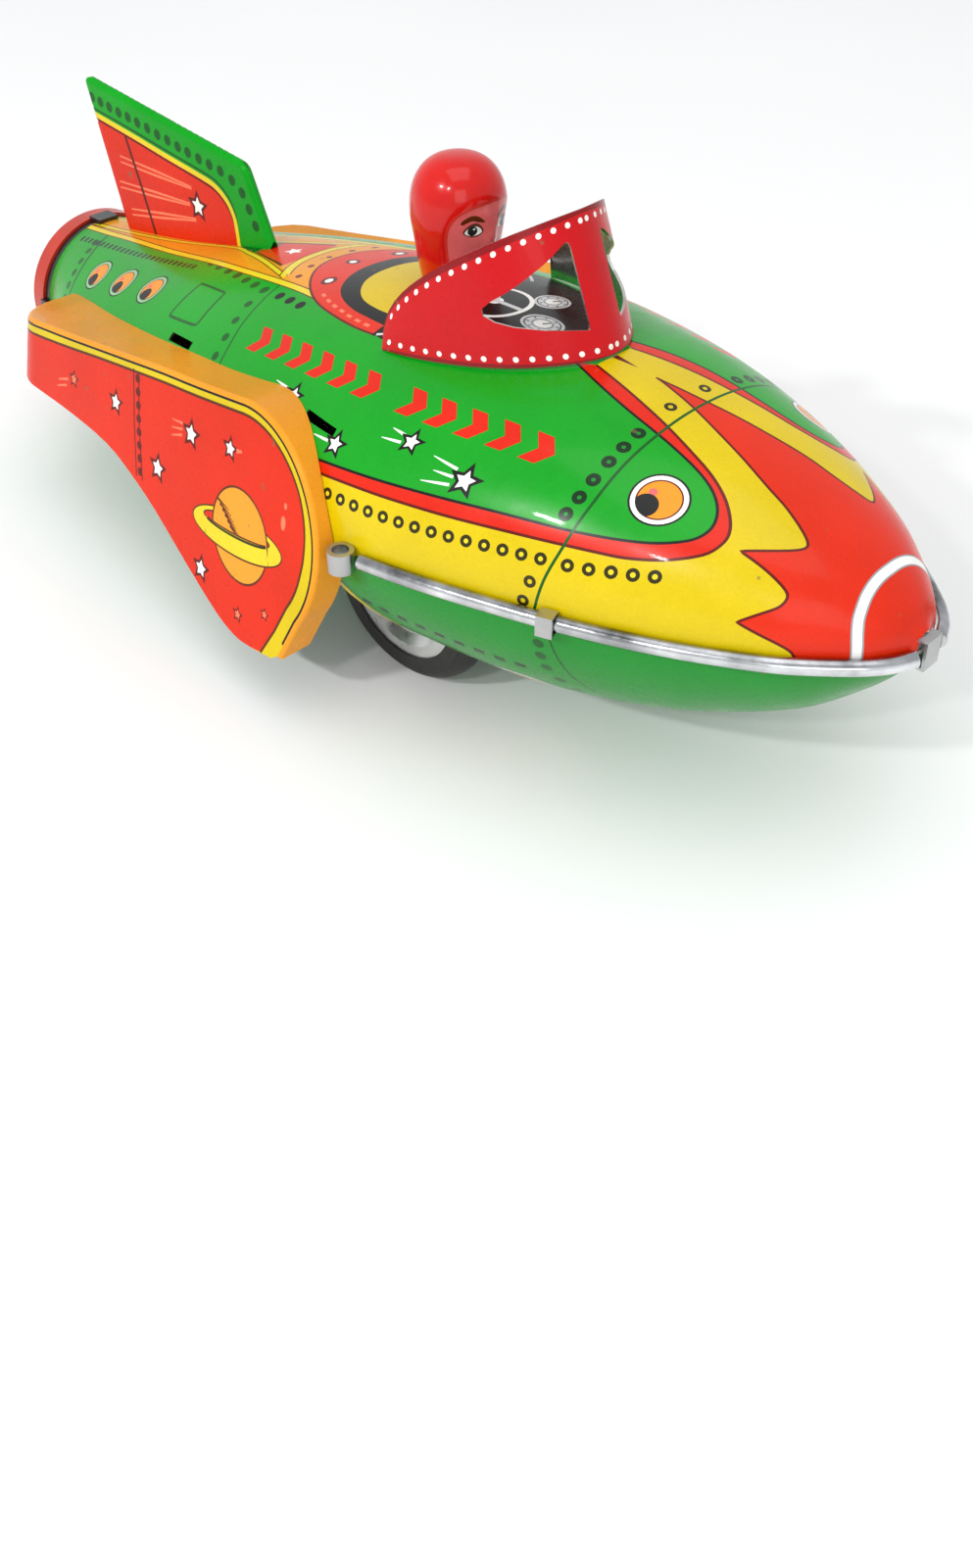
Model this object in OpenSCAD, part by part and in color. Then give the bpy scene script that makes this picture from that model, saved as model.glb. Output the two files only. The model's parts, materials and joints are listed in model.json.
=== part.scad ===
// Friction-drive tin space rocket.
// Frame: +X towards the nose, +Y towards the left side, +Z up.
// Origin: on the ground, under the middle of the toy. Units: millimetres.

/* [Hull] */
// Distance from the origin to the tip of the hull
nose_x = 91.4; // [90.8:0.2:92.4]
// Half width of the hull at its widest section
belt_w = 34.2; // [32:0.1:36]
// Thickness of the tinplate
tin = 0.4; // [0.3:0.05:0.6]

/* [Wheels] */
// Radius of the front tyres
front_r = 15.4; // [15:0.1:15.8]
// Distance of the front axle in front of the origin
front_x = 19.4; // [18:0.2:20]
// Radius of the single rear wheel
rear_r = 7; // [6:0.5:8]
// Distance of the rear axle from the origin
rear_x = -44.6; // [-48:0.2:-42]

/* [Side pods] */
// Radius of the round front of a pod
pod_r = 17.5; // [17:0.1:18]
// How far the rim of a pod turns in towards the hull
pod_rim = 11.5; // [11:0.5:12.5]

/* [Cockpit] */
// Height of the driver's head above the seat
head_h = 19; // [17:0.2:22]
// Height of the windscreen's front edge
screen_h = 18.6; // [16:0.2:21]

/* [Tail] */
// Radius of the exhaust ring
nozzle_r = 14.3; // [14:0.1:15]
// Thickness of the tail fin over both its walls
fin_t = 1.8; // [1.4:0.1:2.4]

/* [Motor] */
// Module of the gear teeth
gear_m = 0.6; // [0.58:0.01:0.6]
// Radius of the flywheel
fly_r = 14; // [12:0.5:15]
// Width of the flywheel
fly_w = 5; // [4:0.5:5.5]

/* [Hidden] */

$fn = 64;
lap = 0.02;      // overlap that keeps joined solids joined
fit = 0.05;      // running clearance of shafts, on the radius
skin_gap = 0.05; // gap between pressings that lie on each other

// ---------------------------------------------------------------- hull form
// Hull sections: distance along the hull, half width, top height, keel height
SECTIONS = [
  [-85.5, 13.8, 36.8, 9.2],
  [-75, 18, 38.3, 8.3],
  [-57, 23.2, 41.4, 7.4],
  [-32, 28.4, 47, 6.3],
  [-7, 32.3, 51.4, 5.5],
  [13, belt_w, 53.2, 5.2],
  [28, 33.4, 53.6, 5.1],
  [48, 28.6, 52.8, 5.9],
  [65, 22.6, 49.3, 9.9],
  [79, 15.2, 44.3, 17.2],
  [86.6, 9, 40, 24.2],
  [89.8, 5.2, 37.3, 28.2],
  [nose_x, 1.6, 34.6, 31.4]
];
tail_x = SECTIONS[0][0];
last_section = len(SECTIONS) - 1;

// Slope of column c of the sections table at row k
function slope(k, c) =
  let (a = max(k - 1, 0), b = min(k + 1, last_section))
  (SECTIONS[b][c] - SECTIONS[a][c]) / (SECTIONS[b][0] - SECTIONS[a][0]);

// Smooth value of column c at distance x along the hull
function form(c, x, k = 0) =
  x > SECTIONS[k + 1][0] && k < last_section - 1
  ? form(c, x, k + 1)
  : let (d = SECTIONS[k + 1][0] - SECTIONS[k][0],
         t = (x - SECTIONS[k][0]) / d,
         t2 = t * t,
         t3 = t2 * t)
    (2 * t3 - 3 * t2 + 1) * SECTIONS[k][c] + (t3 - 2 * t2 + t) * d * slope(k, c)
    + (3 * t2 - 2 * t3) * SECTIONS[k + 1][c] + (t3 - t2) * d * slope(k + 1, c);

function half_w(x) = form(1, x);
function top_z(x) = form(2, x);
function keel_z(x) = form(3, x);

// Height of the seam between the two shells
function seam_z(x) =
  let (s = (x - 23) / 70)
  30.15 + 2.97 * s - s * s;

// Roundness of a section, above and below the seam
function roundness(x, up) =
  up ? 2 + 0.18 * min(1, (x - tail_x) / 30) : 2 - 0.2 * max(0, min(1, (x - 45) / 25));

// Point of the hull section at x: angle 0 right belt, 90 top, 180 left belt.
// g grows the section outwards, a negative g shrinks it.
function hull_point(x, a, g = 0) =
  let (up = a <= 180,
       n = 2 / roundness(x, up),
       w = half_w(x) + g,
       h = up ? top_z(x) + g - seam_z(x) : seam_z(x) - keel_z(x) + g,
       c = cos(a),
       s = abs(sin(a)))
  [x, -w * sign(c) * pow(abs(c), n), seam_z(x) + (up ? 1 : -1) * h * pow(s, n)];

// Height of the upper shell over the point x, y
function deck_z(x, y) =
  let (n = roundness(x, true))
  seam_z(x) + (top_z(x) - seam_z(x)) * pow(1 - pow(abs(y) / half_w(x), n), 1 / n);

long_steps = 30;  // steps along the hull
ring_steps = 22;  // steps round half a section
nose_crowding = 1.35;

// Stations along the hull, closer together towards the nose
function station(k) =
  let (t = 1 - pow(1 - k / long_steps, nose_crowding))
  tail_x + t * (nose_x - tail_x);

// Closed solid through rings of equal length
module loft(rings) {
  n = len(rings[0]);
  m = len(rings);
  sides = [for (i = [0 : m - 2], j = [0 : n - 1], k = [0, 1])
    let (a = i * n + j, b = i * n + (j + 1) % n)
    k == 0 ? [a, b, b + n] : [a, b + n, a + n]];
  caps = [[for (j = [n - 1 : -1 : 0]) j], [for (j = [0 : n - 1]) (m - 1) * n + j]];
  polyhedron(points = [for (r = rings) each r], faces = concat(sides, caps), convexity = 8);
}

// Half of the hull as a solid, from angle a0 to a0 + 180, closed along the seam
module half_hull(a0, g) {
  loft([for (k = [0 : long_steps])
    let (shift = g == 0 ? 0 : k == 0 ? -1 : k == long_steps ? g : 0)
    [for (j = [0 : ring_steps])
      hull_point(station(k), a0 + 180 * j / ring_steps, g) + [shift, 0, 0]]]);
}

// Whole hull as a solid, grown by g
module hull_solid(g) {
  loft([for (k = [0 : long_steps])
    [for (j = [0 : 2 * ring_steps - 1]) hull_point(station(k), 180 * j / ring_steps, g)]]);
}

// ------------------------------------------------------------- helper solids
// Extrudes an outline drawn in X and Z from y0 to y1
module across(y0, y1) {
  translate([0, y1, 0]) rotate([90, 0, 0]) linear_extrude(y1 - y0) children();
}

// Turns an outline (radius, y) about an axle parallel to Y at x, z
module about_axle(x, z) {
  translate([x, 0, z]) rotate([-90, 0, 0]) rotate_extrude() children();
}

// Turns an outline (radius, x) about the axis of the tail tube
module about_tail() {
  translate([0, 0, tail_axis_z]) rotate([0, 90, 0]) rotate_extrude() children();
}

// Round bar parallel to Y
module bar_y(x, z, r, y0, y1) {
  translate([x, y1, z]) rotate([90, 0, 0]) cylinder(h = y1 - y0, r = r);
}

// Both sides of the toy
module both_sides() {
  for (side = [0, 1]) mirror([0, side, 0]) children();
}

// Takes the shape as one mesh, which suits thin pressings with cut-outs
module pressed() {
  resize([0, 0, 0]) children();
}

// -------------------------------------------------------------- belt and trim
strip_x0 = 26.8; // rear end of the chrome strips
strip_x1 = 91.1; // front end of the chrome strips
belt_steps = 34;

// Unit vector in plan that points out of the right side of the belt
function belt_normal(x) =
  let (d = 0.05,
       s = (half_w(x + d) - half_w(x - d)) / (2 * d),
       l = sqrt(1 + s * s))
  [-s / l, -1 / l];

// Profile (outward, height) placed on the right side of the belt at x
function belt_ring(x, profile) =
  let (n = belt_normal(x), w = half_w(x), z = seam_z(x))
  [for (p = profile) [x + n[0] * p[0], -w + n[1] * p[0], z + p[1]]];

function belt_station(x0, x1, k, steps) =
  x0 + (x1 - x0) * (1 - pow(1 - k / steps, 1.4));

// Strip that follows the right side of the belt
module belt_strip(x0, x1, profile, steps = belt_steps) {
  loft([for (k = [0 : steps]) belt_ring(belt_station(x0, x1, k, steps), profile)]);
}

lip_out = 1.1; // width of the lips that the strip grips
LIP = [[-0.25, 0.06], [lip_out, 0.06], [lip_out, tin], [-0.25, tin]];
LIP_LOW = [for (k = [3 : -1 : 0]) [LIP[k][0], -LIP[k][1]]];
groove = tin + skin_gap;
STRIP = [[0.25, groove], [lip_out + 0.1, groove], [lip_out + 0.1, -groove],
  [0.25, -groove], [0.25, -1], [0.7, -1.2], [1.4, -0.95], [1.85, -0.45],
  [1.95, 0], [1.85, 0.45], [1.4, 0.95], [0.7, 1.2], [0.25, 1]];

module trim_strip() {
  pressed() belt_strip(strip_x0, strip_x1, STRIP);
}

module trim_strip_right() {
  color("gainsboro") trim_strip();
}

module trim_strip_left() {
  color("gainsboro") mirror([0, 1, 0]) trim_strip();
}

clip_x = 54.5;  // middle of the clip on each strip
clip_half = 1.1;
clip_out = 2;   // inside of the clip, measured out from the belt
CLIP = [[0.3, -1.55], [clip_out + 0.35, -1.55], [clip_out + 0.35, 1.55], [0.3, 1.55]];

// Bent tab that holds a strip on its lips
module trim_clips() {
  color("silver") both_sides() pressed() difference() {
    belt_strip(clip_x - clip_half, clip_x + clip_half, CLIP, 3);
    belt_strip(clip_x - 4, clip_x + 4,
      [[0, -1.25], [clip_out, -1.25], [clip_out, 1.25], [0, 1.25]], 6);
  }
}

knob_x = 24.6; // rolled end of each strip, at the front of the pod
knob_r = 1.9;
knob_bore = 1.2;
knob_h = 3.2;

module trim_end_knobs() {
  color("silver") both_sides() {
    translate([knob_x, -half_w(knob_x) - 1.9, seam_z(knob_x) - knob_h / 2]) difference() {
      cylinder(h = knob_h, r = knob_r);
      translate([0, 0, -1]) cylinder(h = knob_h + 2, r = knob_bore);
    }
  }
}

nose_clip_w = 1.6;   // half width of the folded clip over the nose
nose_clip_x = 90.1;  // rear end of the clip's arms
nose_clip_l = 2.6;
nose_clip_half = 2.15; // half height of the clip

module nose_clip() {
  z = seam_z(nose_x);
  color("silver") pressed() difference() {
    across(-nose_clip_w, nose_clip_w) difference() {
      translate([nose_clip_x, z - nose_clip_half]) square([nose_clip_l, 2 * nose_clip_half]);
      translate([nose_clip_x - 1, z - nose_clip_half + tin])
        square([nose_clip_l + 1 - tin, 2 * (nose_clip_half - tin)]);
    }
    hull_solid(skin_gap);
  }
}

tail_clip_x = -79.6;
tail_clip_half = 1.6;

// Bent tabs that close the two shells together at the tail
module tail_clips() {
  color("silver") both_sides() pressed() difference() {
    belt_strip(tail_clip_x - tail_clip_half, tail_clip_x + tail_clip_half,
      [[0.1, -3.2], [0.9, -2.4], [0.9, 2.4], [0.1, 3.2]], 2);
    hull_solid(0.1);
  }
}

// -------------------------------------------------------------------- shells
slot_l = 7;     // length of the slots for the pod tabs
slot_h = 1.1;    // how far those slots show over the pod's rim
POD_TABS = [-27, 10];
tab_l = 5;
FIN_TABS = [-66, -44];
plug_r = 3.4;   // peg under the driver's head
head_x = 7.8;
head_y = 3;      // the head sits a little left of the middle

module upper_shell() {
  color("limegreen") pressed() difference() {
    union() {
      half_hull(0, 0);
      both_sides() belt_strip(strip_x0, strip_x1, LIP);
    }
    translate([0, 0, -lap]) half_hull(0, -tin);
    both_sides() for (x = POD_TABS) pod_prism(4, 13) rim_stretch(x, slot_l, -0.7, slot_h);
    for (x = FIN_TABS) translate([x, 0, top_z(x)]) cube([6, fin_t + 0.3, 4], center = true);
    translate([head_x, head_y, top_z(head_x) - 3]) cylinder(h = 6, r = plug_r + fit, $fn = 40);
  }
}

WELL = [[1, -2], [1, 25], [17, 25], [22.5, 18], [27.8, 14.6], [36, 13.8], [36, -2]];
well_y = 15.1;       // inner edge of the openings for the front wheels
rear_slot_l = 17;
rear_slot_w = 10.4;
PLATE_TABS = [-8, 26]; // tabs of the motor plates through the floor
plate_y = 7;         // inner face of each motor plate
plate_t = 0.8;

module lower_shell() {
  color("forestgreen") pressed() difference() {
    union() {
      half_hull(180, 0);
      both_sides() belt_strip(strip_x0, strip_x1, LIP_LOW);
    }
    translate([0, 0, lap]) half_hull(180, -tin);
    both_sides() across(-40, -well_y) polygon(WELL);
    translate([rear_x, 0, 8]) cube([rear_slot_l, rear_slot_w, 12], center = true);
    both_sides() for (x = PLATE_TABS)
      translate([x, -plate_y - plate_t / 2, 5]) cube([4.4, 1.2, 8], center = true);
  }
}

// -------------------------------------------------------------- tail exhaust
tail_axis_z = (SECTIONS[0][2] + SECTIONS[0][3]) / 2;
tube_r = SECTIONS[0][1];

module nozzle_collar() {
  // Black ring inside the tail that carries the exhaust ring
  inner = tube_r - tin - 1.2;
  outer = tube_r - tin - 0.45;
  color([0.08, 0.08, 0.08]) {
    about_tail() {
      translate([inner, tail_x - 2.5]) square([outer - inner, 5.5]);
      translate([inner, tail_x - 1.4]) square([tube_r - inner, 1.3]);
    }
    pressed() difference() {
      for (a = [0 : 90 : 270])
        translate([0, 0, tail_axis_z]) rotate([a, 0, 0])
          translate([tail_x - 1.4, -2, tube_r - 0.2]) cube([3.4, 4, 1.2]);
      hull_solid(skin_gap);
    }
  }
}

nozzle_x0 = -91.2;
nozzle_x1 = tail_x - 1.5;

module nozzle_ring() {
  // Pressed ring with a rolled rear edge
  color("orangered") about_tail() {
    difference() {
      union() {
        translate([nozzle_r - 2.6, nozzle_x0 + 1]) square([2.6, nozzle_x1 - nozzle_x0 - 1]);
        translate([nozzle_r - 1.3, nozzle_x0 + 1.3]) circle(r = 1.3);
      }
      translate([0, nozzle_x0 + 1.6]) square([nozzle_r - 1, 10]);
    }
  }
}

module exhaust_disc() {
  // Dished disc that closes the exhaust ring
  color("darkorange") about_tail() {
    polygon([[0, nozzle_x0 + 1.1], [4, nozzle_x0 + 1.1], [11.2, nozzle_x0 + 2.4],
      [nozzle_r - 1.05, nozzle_x0 + 2.4], [nozzle_r - 1.05, nozzle_x0 + 2.9],
      [11, nozzle_x0 + 2.9], [4, nozzle_x0 + 1.6], [0, nozzle_x0 + 1.6]]);
  }
}

FIN = [[-84, 64.6], [-38.3, 59.8], [-32.6, 47.6], [-75.6, 37]];
FIN_HOLLOW = [[-79.6, 61.5], [-39.4, 57.6], [-34.6, 47], [-72.5, 30]];

module fin_outline() {
  offset(r = 1) offset(delta = -1) polygon(FIN);
}

module tail_fin() {
  // Folded sheet, closed along its top, front and rear edges
  color("green") pressed() {
    difference() {
      across(-fin_t / 2, fin_t / 2) fin_outline();
      across(tin - fin_t / 2, fin_t / 2 - tin) polygon(FIN_HOLLOW);
      hull_solid(skin_gap);
    }
    for (x = FIN_TABS)
      translate([x, 0, top_z(x) + 0.6]) cube([5, fin_t - tin, 5], center = true);
  }
}

// ---------------------------------------------------------------------- pods
POD_CENTRE = [4.2, 27.4];
POD_REAR = [[-73, 22.6], [-73, 32.4], [-70.4, 32.8]];
POD_BELLY = [[15.7, 11.1], [15.1, 10.4], [10.4, 9.5], [6.5, 8.9], [4, 8.8], [-1, 9.9],
  [-10, 13.6], [-20, 18.2], [-28, 21], [-36, 23], [-48, 23.4]];
pod_top_a = 98;   // where the straight top edge meets the round front
pod_tip_a = -33;  // where the round front runs straight on to the lower tip
pod_lip = 5;      // depth of the rim below the hull's belt

// The face of the right pod is the plane y = pod_y + pod_dx * x + pod_dz * z
pod_y = -42;
pod_dx = -0.084;
pod_dz = 0.21;

// Height of the pod's top edge behind its round front
function pod_top_z(x) =
  let (a = POD_REAR[2],
       b = POD_CENTRE + pod_r * [cos(pod_top_a), sin(pod_top_a)])
  x < b[0] ? a[1] + (x - a[0]) * (b[1] - a[1]) / (b[0] - a[0])
           : POD_CENTRE[1] + sqrt(pow(pod_r, 2) - pow(x - POD_CENTRE[0], 2));

POD_OUTLINE = concat(POD_REAR,
  [for (k = [0 : 30])
    let (a = pod_top_a + (pod_tip_a - pod_top_a) * k / 30)
    POD_CENTRE + pod_r * [cos(a), sin(a)]],
  POD_BELLY);

// Outline pushed inwards from the pod's face, from depth d0 to depth d1
module pod_prism(d0, d1) {
  multmatrix([[1, 0, 0, 0], [pod_dx, pod_dz, 1, pod_y], [0, 1, 0, 0], [0, 0, 0, 1]])
    translate([0, 0, d0]) linear_extrude(d1 - d0) children();
}

// Stretch of the pod's top edge about x, from low to high over that edge
module rim_stretch(x, l, low, high) {
  steps = [-1 : 0.25 : 1];
  polygon(concat([for (t = steps) [x + t * l / 2, pod_top_z(x + t * l / 2) + low]],
    [for (t = steps) [x - t * l / 2, pod_top_z(x - t * l / 2) + high]]));
}

POD_CORNER = [-61.4, -26]; // centre of a pod's rounded rear corner at ground level
pod_corner_r = 11;

// Space that a pod may fill behind its rounded rear corner, inset by g. It leans as the face does.
module pod_space(g) {
  r = pod_corner_r - g;
  multmatrix([[1, 0, 0, 0], [0, 1, pod_dz, 0], [0, 0, 1, 0]]) linear_extrude(60) {
    translate(POD_CORNER) circle(r = r, $fn = 72);
    translate([POD_CORNER[0] - r, POD_CORNER[1]]) square([r + 1, 40]);
    translate([POD_CORNER[0], POD_CORNER[1] - 20]) square([100, 60]);
  }
}

module pod() {
  pressed() {
    difference() {
      intersection() {
        pod_prism(0, pod_rim) polygon(POD_OUTLINE);
        pod_space(0);
      }
      intersection() {
        pod_prism(tin, pod_rim + 1) union() {
          offset(delta = -tin) polygon(POD_OUTLINE);
          polygon([[-76, 27], [-76, -5], [15, -5], [15, 11.9], [2, 13.2], [-1, 13.2],
            [-28, 24], [-48, 27]]);
        }
        pod_space(tin);
      }
      pod_prism(pod_lip, pod_rim + 1) polygon([[-30, -5], [30, -5], [30, 26], [-30, 26]]);
      hull_solid(skin_gap);
    }
    for (x = POD_TABS) pod_prism(2.5, 11) rim_stretch(x, tab_l, 0.05 - tin, -0.05);
  }
}

module pod_right() {
  color("tomato") pod();
}

module pod_left() {
  color("tomato") mirror([0, 1, 0]) pod();
}

// ------------------------------------------------------------------- cockpit
screen_x = 13;    // rear tips of the windscreen
screen_l = 28;    // length of its foot
screen_w = 17.3;  // half width of its foot
screen_lean = 7.2;  // how far the top edge leans back
screen_round = 1.85;
screen_steps = 40;

// Point of the windscreen: a 0 at the front, +-90 at the rear tips, v 0 foot, 1 top
function screen_point(a, v, g) =
  let (n = 2 / screen_round,
       c = pow(abs(cos(a)), n),
       s = sign(a) * pow(abs(sin(a)), n),
       x = screen_x + (screen_l + g - screen_lean * v) * c,
       y = (screen_w + g - 0.6 * v) * s,
       foot = deck_z(screen_x + screen_l * c, screen_w * abs(s)) + 0.15,
       rise = 1 + (screen_h - 1) * sqrt(max(0, cos(a))))
  [x, y, foot + v * rise];

// Piece of the bent windscreen sheet between two angles
module screen_patch(a0, a1, low, high, g0, g1, steps) {
  loft([for (k = [0 : steps])
    let (s = k / steps,
         a = a0 + (a1 - a0) * s,
         v0 = low[0] + (low[1] - low[0]) * s,
         v1 = high[0] + (high[1] - high[0]) * s)
    [screen_point(a, v0, g1), screen_point(a, (v0 + v1) / 2, g1), screen_point(a, v1, g1),
     screen_point(a, v1, g0), screen_point(a, (v0 + v1) / 2, g0), screen_point(a, v0, g0)]]);
}

window_a0 = 13; // front edge of each side window
window_a1 = 49; // rear edge of each side window

module windscreen() {
  color("crimson") {
    pressed() difference() {
      screen_patch(-89.5, 89.5, [0, 0], [1, 1], -tin, 0, screen_steps);
      both_sides()
        screen_patch(window_a0, window_a1, [0.23, 0.42], [0.82, 0.62], -4, 4, 10);
      hull_solid(skin_gap);
    }
  }
}

// Outline of half the head: radius and height above its neck
neck_r = 5.4;
head_r = 7.2;
HEAD = [[0, 0], [neck_r, 0], [neck_r + 0.3, 1.2], [6.5, 6.5], [head_r, 11],
  [head_r, head_h - 7.6]];
head_top = [for (a = [0 : 9 : 90]) [head_r * cos(a), head_h - 7.6 + 7.6 * sin(a)]];
seat_z = 53.3;  // height of the neck where it stands on the seat

module head_form() {
  translate([head_x, head_y, seat_z])
    rotate_extrude($fn = 48) polygon(concat(HEAD, head_top));
}

plug_drop = 4;   // length of the peg under the neck

module driver_head() {
  // One moulding: helmet, face with its nose, and the peg that holds it in the seat
  color("red") pressed() {
    head_form();
    translate([head_x + head_r - 0.2, head_y, seat_z + 8.3]) scale([1, 0.75, 1.4])
      sphere(r = 1.25, $fn = 24);
    translate([head_x, head_y, seat_z - plug_drop]) {
      cylinder(h = plug_drop + 1, r = plug_r, $fn = 40);
      cylinder(h = 2.4, r1 = plug_r - 0.4, r2 = plug_r + 0.7, $fn = 40);
    }
  }
}

// --------------------------------------------------------------------- gears
drive_teeth = 26;
idler_pinion_teeth = 10;
idler_teeth = 28;
fly_pinion_teeth = 8;
pressure = 25;      // pressure angle of the teeth
addendum = 0.75;    // tooth height over the pitch circle, in modules
dedendum = 1;       // tooth depth under the pitch circle, in modules
backlash = 0.12;    // thinning of each tooth, in modules
flank_steps = 4;
gear_line = 150;    // direction of the gear train, from the front axle

front_z = front_r;
idler_d = gear_m * (drive_teeth + idler_pinion_teeth) / 2;
fly_d = gear_m * (idler_teeth + fly_pinion_teeth) / 2;
IDLER = [front_x, front_z] + idler_d * [cos(gear_line), sin(gear_line)];
FLY = IDLER + fly_d * [cos(gear_line), sin(gear_line)];

function involute(a) = tan(a) * 180 / PI - a;

// Half angle of a tooth at radius r
function tooth_half(teeth, r) =
  let (pitch_r = gear_m * teeth / 2,
       base_r = pitch_r * cos(pressure),
       a = acos(min(1, base_r / max(r, base_r))),
       half = (90 / teeth) - (backlash * gear_m / 2) / pitch_r * 180 / PI)
  half + involute(pressure) - involute(a);

// Gear outline with one tooth pointing along angle 0
module gear_outline(teeth) {
  pitch_r = gear_m * teeth / 2;
  root_r = pitch_r - dedendum * gear_m;
  tip_r = pitch_r + addendum * gear_m;
  polygon([for (k = [0 : teeth - 1], side = [-1, 1], j = [0 : flank_steps])
    let (f = side < 0 ? j : flank_steps - j,
         r = root_r + (tip_r - root_r) * f / flank_steps,
         a = 360 * k / teeth + side * tooth_half(teeth, r))
    r * [cos(a), sin(a)]]);
}

// Gear on an axle parallel to Y, turned so that a tooth points at angle a
module gear_y(c, teeth, bore, a, y0, y1) {
  across(y0, y1) translate(c) difference() {
    rotate(a) gear_outline(teeth);
    circle(r = bore);
  }
}

axle_r = 1.25;
idler_r = 1;
fly_shaft_r = 0.9;
DRIVE_Y = [-4.5, -2.5];  // plane of the first gear pair
SPEED_Y = [1.5, 3.5];    // plane of the second gear pair

module drive_gear() {
  color("goldenrod") gear_y([front_x, front_z], drive_teeth, axle_r, gear_line,
    DRIVE_Y[0], DRIVE_Y[1]);
}

module idler_pinion() {
  color("goldenrod") gear_y(IDLER, idler_pinion_teeth, idler_r,
    gear_line + 180 + 180 / idler_pinion_teeth, DRIVE_Y[0] - 0.5, DRIVE_Y[1] + 0.5);
}

module idler_gear() {
  color("goldenrod") gear_y(IDLER, idler_teeth, idler_r, gear_line, SPEED_Y[0], SPEED_Y[1]);
}

module flywheel_pinion() {
  color("goldenrod") gear_y(FLY, fly_pinion_teeth, fly_shaft_r,
    gear_line + 180 + 180 / fly_pinion_teeth, SPEED_Y[0] - 0.5, SPEED_Y[1] + 0.5);
}

// ---------------------------------------------------------------- fly motor
shaft_end = plate_y + plate_t - 0.1;
fly_y = 8.7; // inner face of the flywheel

module drive_axle() {
  color("silver") bar_y(front_x, front_z, axle_r, -hub_y1 - 0.9, hub_y1 + 0.9);
}

module idler_shaft() {
  color("silver") bar_y(IDLER[0], IDLER[1], idler_r, -shaft_end, shaft_end);
}

module flywheel_shaft() {
  color("silver") bar_y(FLY[0], FLY[1], fly_shaft_r, -shaft_end, fly_y + fly_w + 0.8);
}

module flywheel() {
  // Heavy disc with a raised rim
  color("dimgray") about_axle(FLY[0], FLY[1]) polygon([[fly_shaft_r, fly_y], [4, fly_y],
    [4, fly_y + 0.8], [fly_r - 3.5, fly_y + 0.8], [fly_r - 3, fly_y], [fly_r - 0.4, fly_y],
    [fly_r, fly_y + 0.4], [fly_r, fly_y + fly_w - 0.4], [fly_r - 0.4, fly_y + fly_w],
    [fly_r - 3, fly_y + fly_w], [fly_r - 3.5, fly_y + fly_w - 0.8],
    [4, fly_y + fly_w - 0.8], [4, fly_y + fly_w], [fly_shaft_r, fly_y + fly_w]]);
}

SPACERS = [[-11, 30], [12, 33], [30, 17]];
spacer_r = 1.6;
rivet_r = 0.8;

// Outline of a motor plate in X and Z
module plate_outline() {
  difference() {
    union() {
      hull() {
        for (c = [FLY, SPACERS[0], SPACERS[1]]) translate(c) circle(r = 3.6, $fn = 32);
      }
      hull() {
        for (c = [IDLER, SPACERS[1], SPACERS[2], [front_x, front_z]])
          translate(c) circle(r = 3.6, $fn = 32);
      }
      translate([-10.5, 8.2]) square([5, 20]);
      translate([23.5, 8.2]) square([5, 10]);
    }
    translate([front_x, front_z]) circle(r = axle_r + fit);
    translate(IDLER) circle(r = idler_r + fit);
    translate(FLY) circle(r = fly_shaft_r + fit);
    for (c = SPACERS) translate(c) circle(r = rivet_r);
  }
}

module motor_plate() {
  across(-plate_y - plate_t, -plate_y) plate_outline();
  for (x = PLATE_TABS) {
    translate([x - 2, -plate_y - plate_t, 4.4]) cube([4, plate_t, 4.4]);
    translate([x - 2, -plate_y - 3.6, 4]) cube([4, 3.6, 0.6]);
  }
}

module motor_plate_right() {
  color("lightsteelblue") motor_plate();
}

module motor_plate_left() {
  color("lightsteelblue") mirror([0, 1, 0]) motor_plate();
}

module motor_spacers() {
  color("silver") for (c = SPACERS) across(-plate_y, plate_y) translate(c) difference() {
    circle(r = spacer_r);
    circle(r = rivet_r);
  }
}

module motor_rivets() {
  // One long rivet through each spacer, with a head on each plate
  end = plate_y + plate_t;
  color("darkgray") for (c = SPACERS) {
    bar_y(c[0], c[1], rivet_r, -end, end);
    bar_y(c[0], c[1], 1.5, -end - 0.7, -end);
    bar_y(c[0], c[1], 1.5, end, end + 0.7);
  }
}

// -------------------------------------------------------------------- wheels
hub_r = 11.2;
hub_y0 = 16; // inner face of the hubs
hub_y1 = 21.4; // outer face of the hubs
tyre_half = 3;
tyre_wall = 2.6; // radius of the tyre's section before it is widened
tyre_y = (hub_y0 + hub_y1) / 2;

// Pressed wheel disc with a raised centre
module wheel_hub() {
  about_axle(front_x, front_z) polygon([[axle_r, -hub_y1], [3, -hub_y1], [3.6, -hub_y1 + 0.7],
    [8, -hub_y1 + 1.1], [9.4, -hub_y1], [hub_r, -hub_y1], [hub_r, -hub_y0],
    [9.6, -hub_y0], [8.6, -hub_y0 - 0.9], [3, -hub_y0 - 0.9], [2.6, -hub_y0], [axle_r, -hub_y0]]);
}

module tyre() {
  about_axle(front_x, front_z) difference() {
    union() {
      translate([hub_r, -tyre_y - tyre_half]) square([2.4, 2 * tyre_half]);
      intersection() {
        translate([front_r - tyre_wall, -tyre_y]) scale([1, tyre_half / tyre_wall])
          circle(r = tyre_wall);
        translate([hub_r, -tyre_y - tyre_half]) square([6, 2 * tyre_half]);
      }
    }
  }
}

module wheel_hub_right() {
  color("silver") wheel_hub();
}

module wheel_hub_left() {
  color("silver") mirror([0, 1, 0]) wheel_hub();
}

module tyre_right() {
  color([0.1, 0.1, 0.1]) tyre();
}

module tyre_left() {
  color([0.1, 0.1, 0.1]) mirror([0, 1, 0]) tyre();
}

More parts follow.
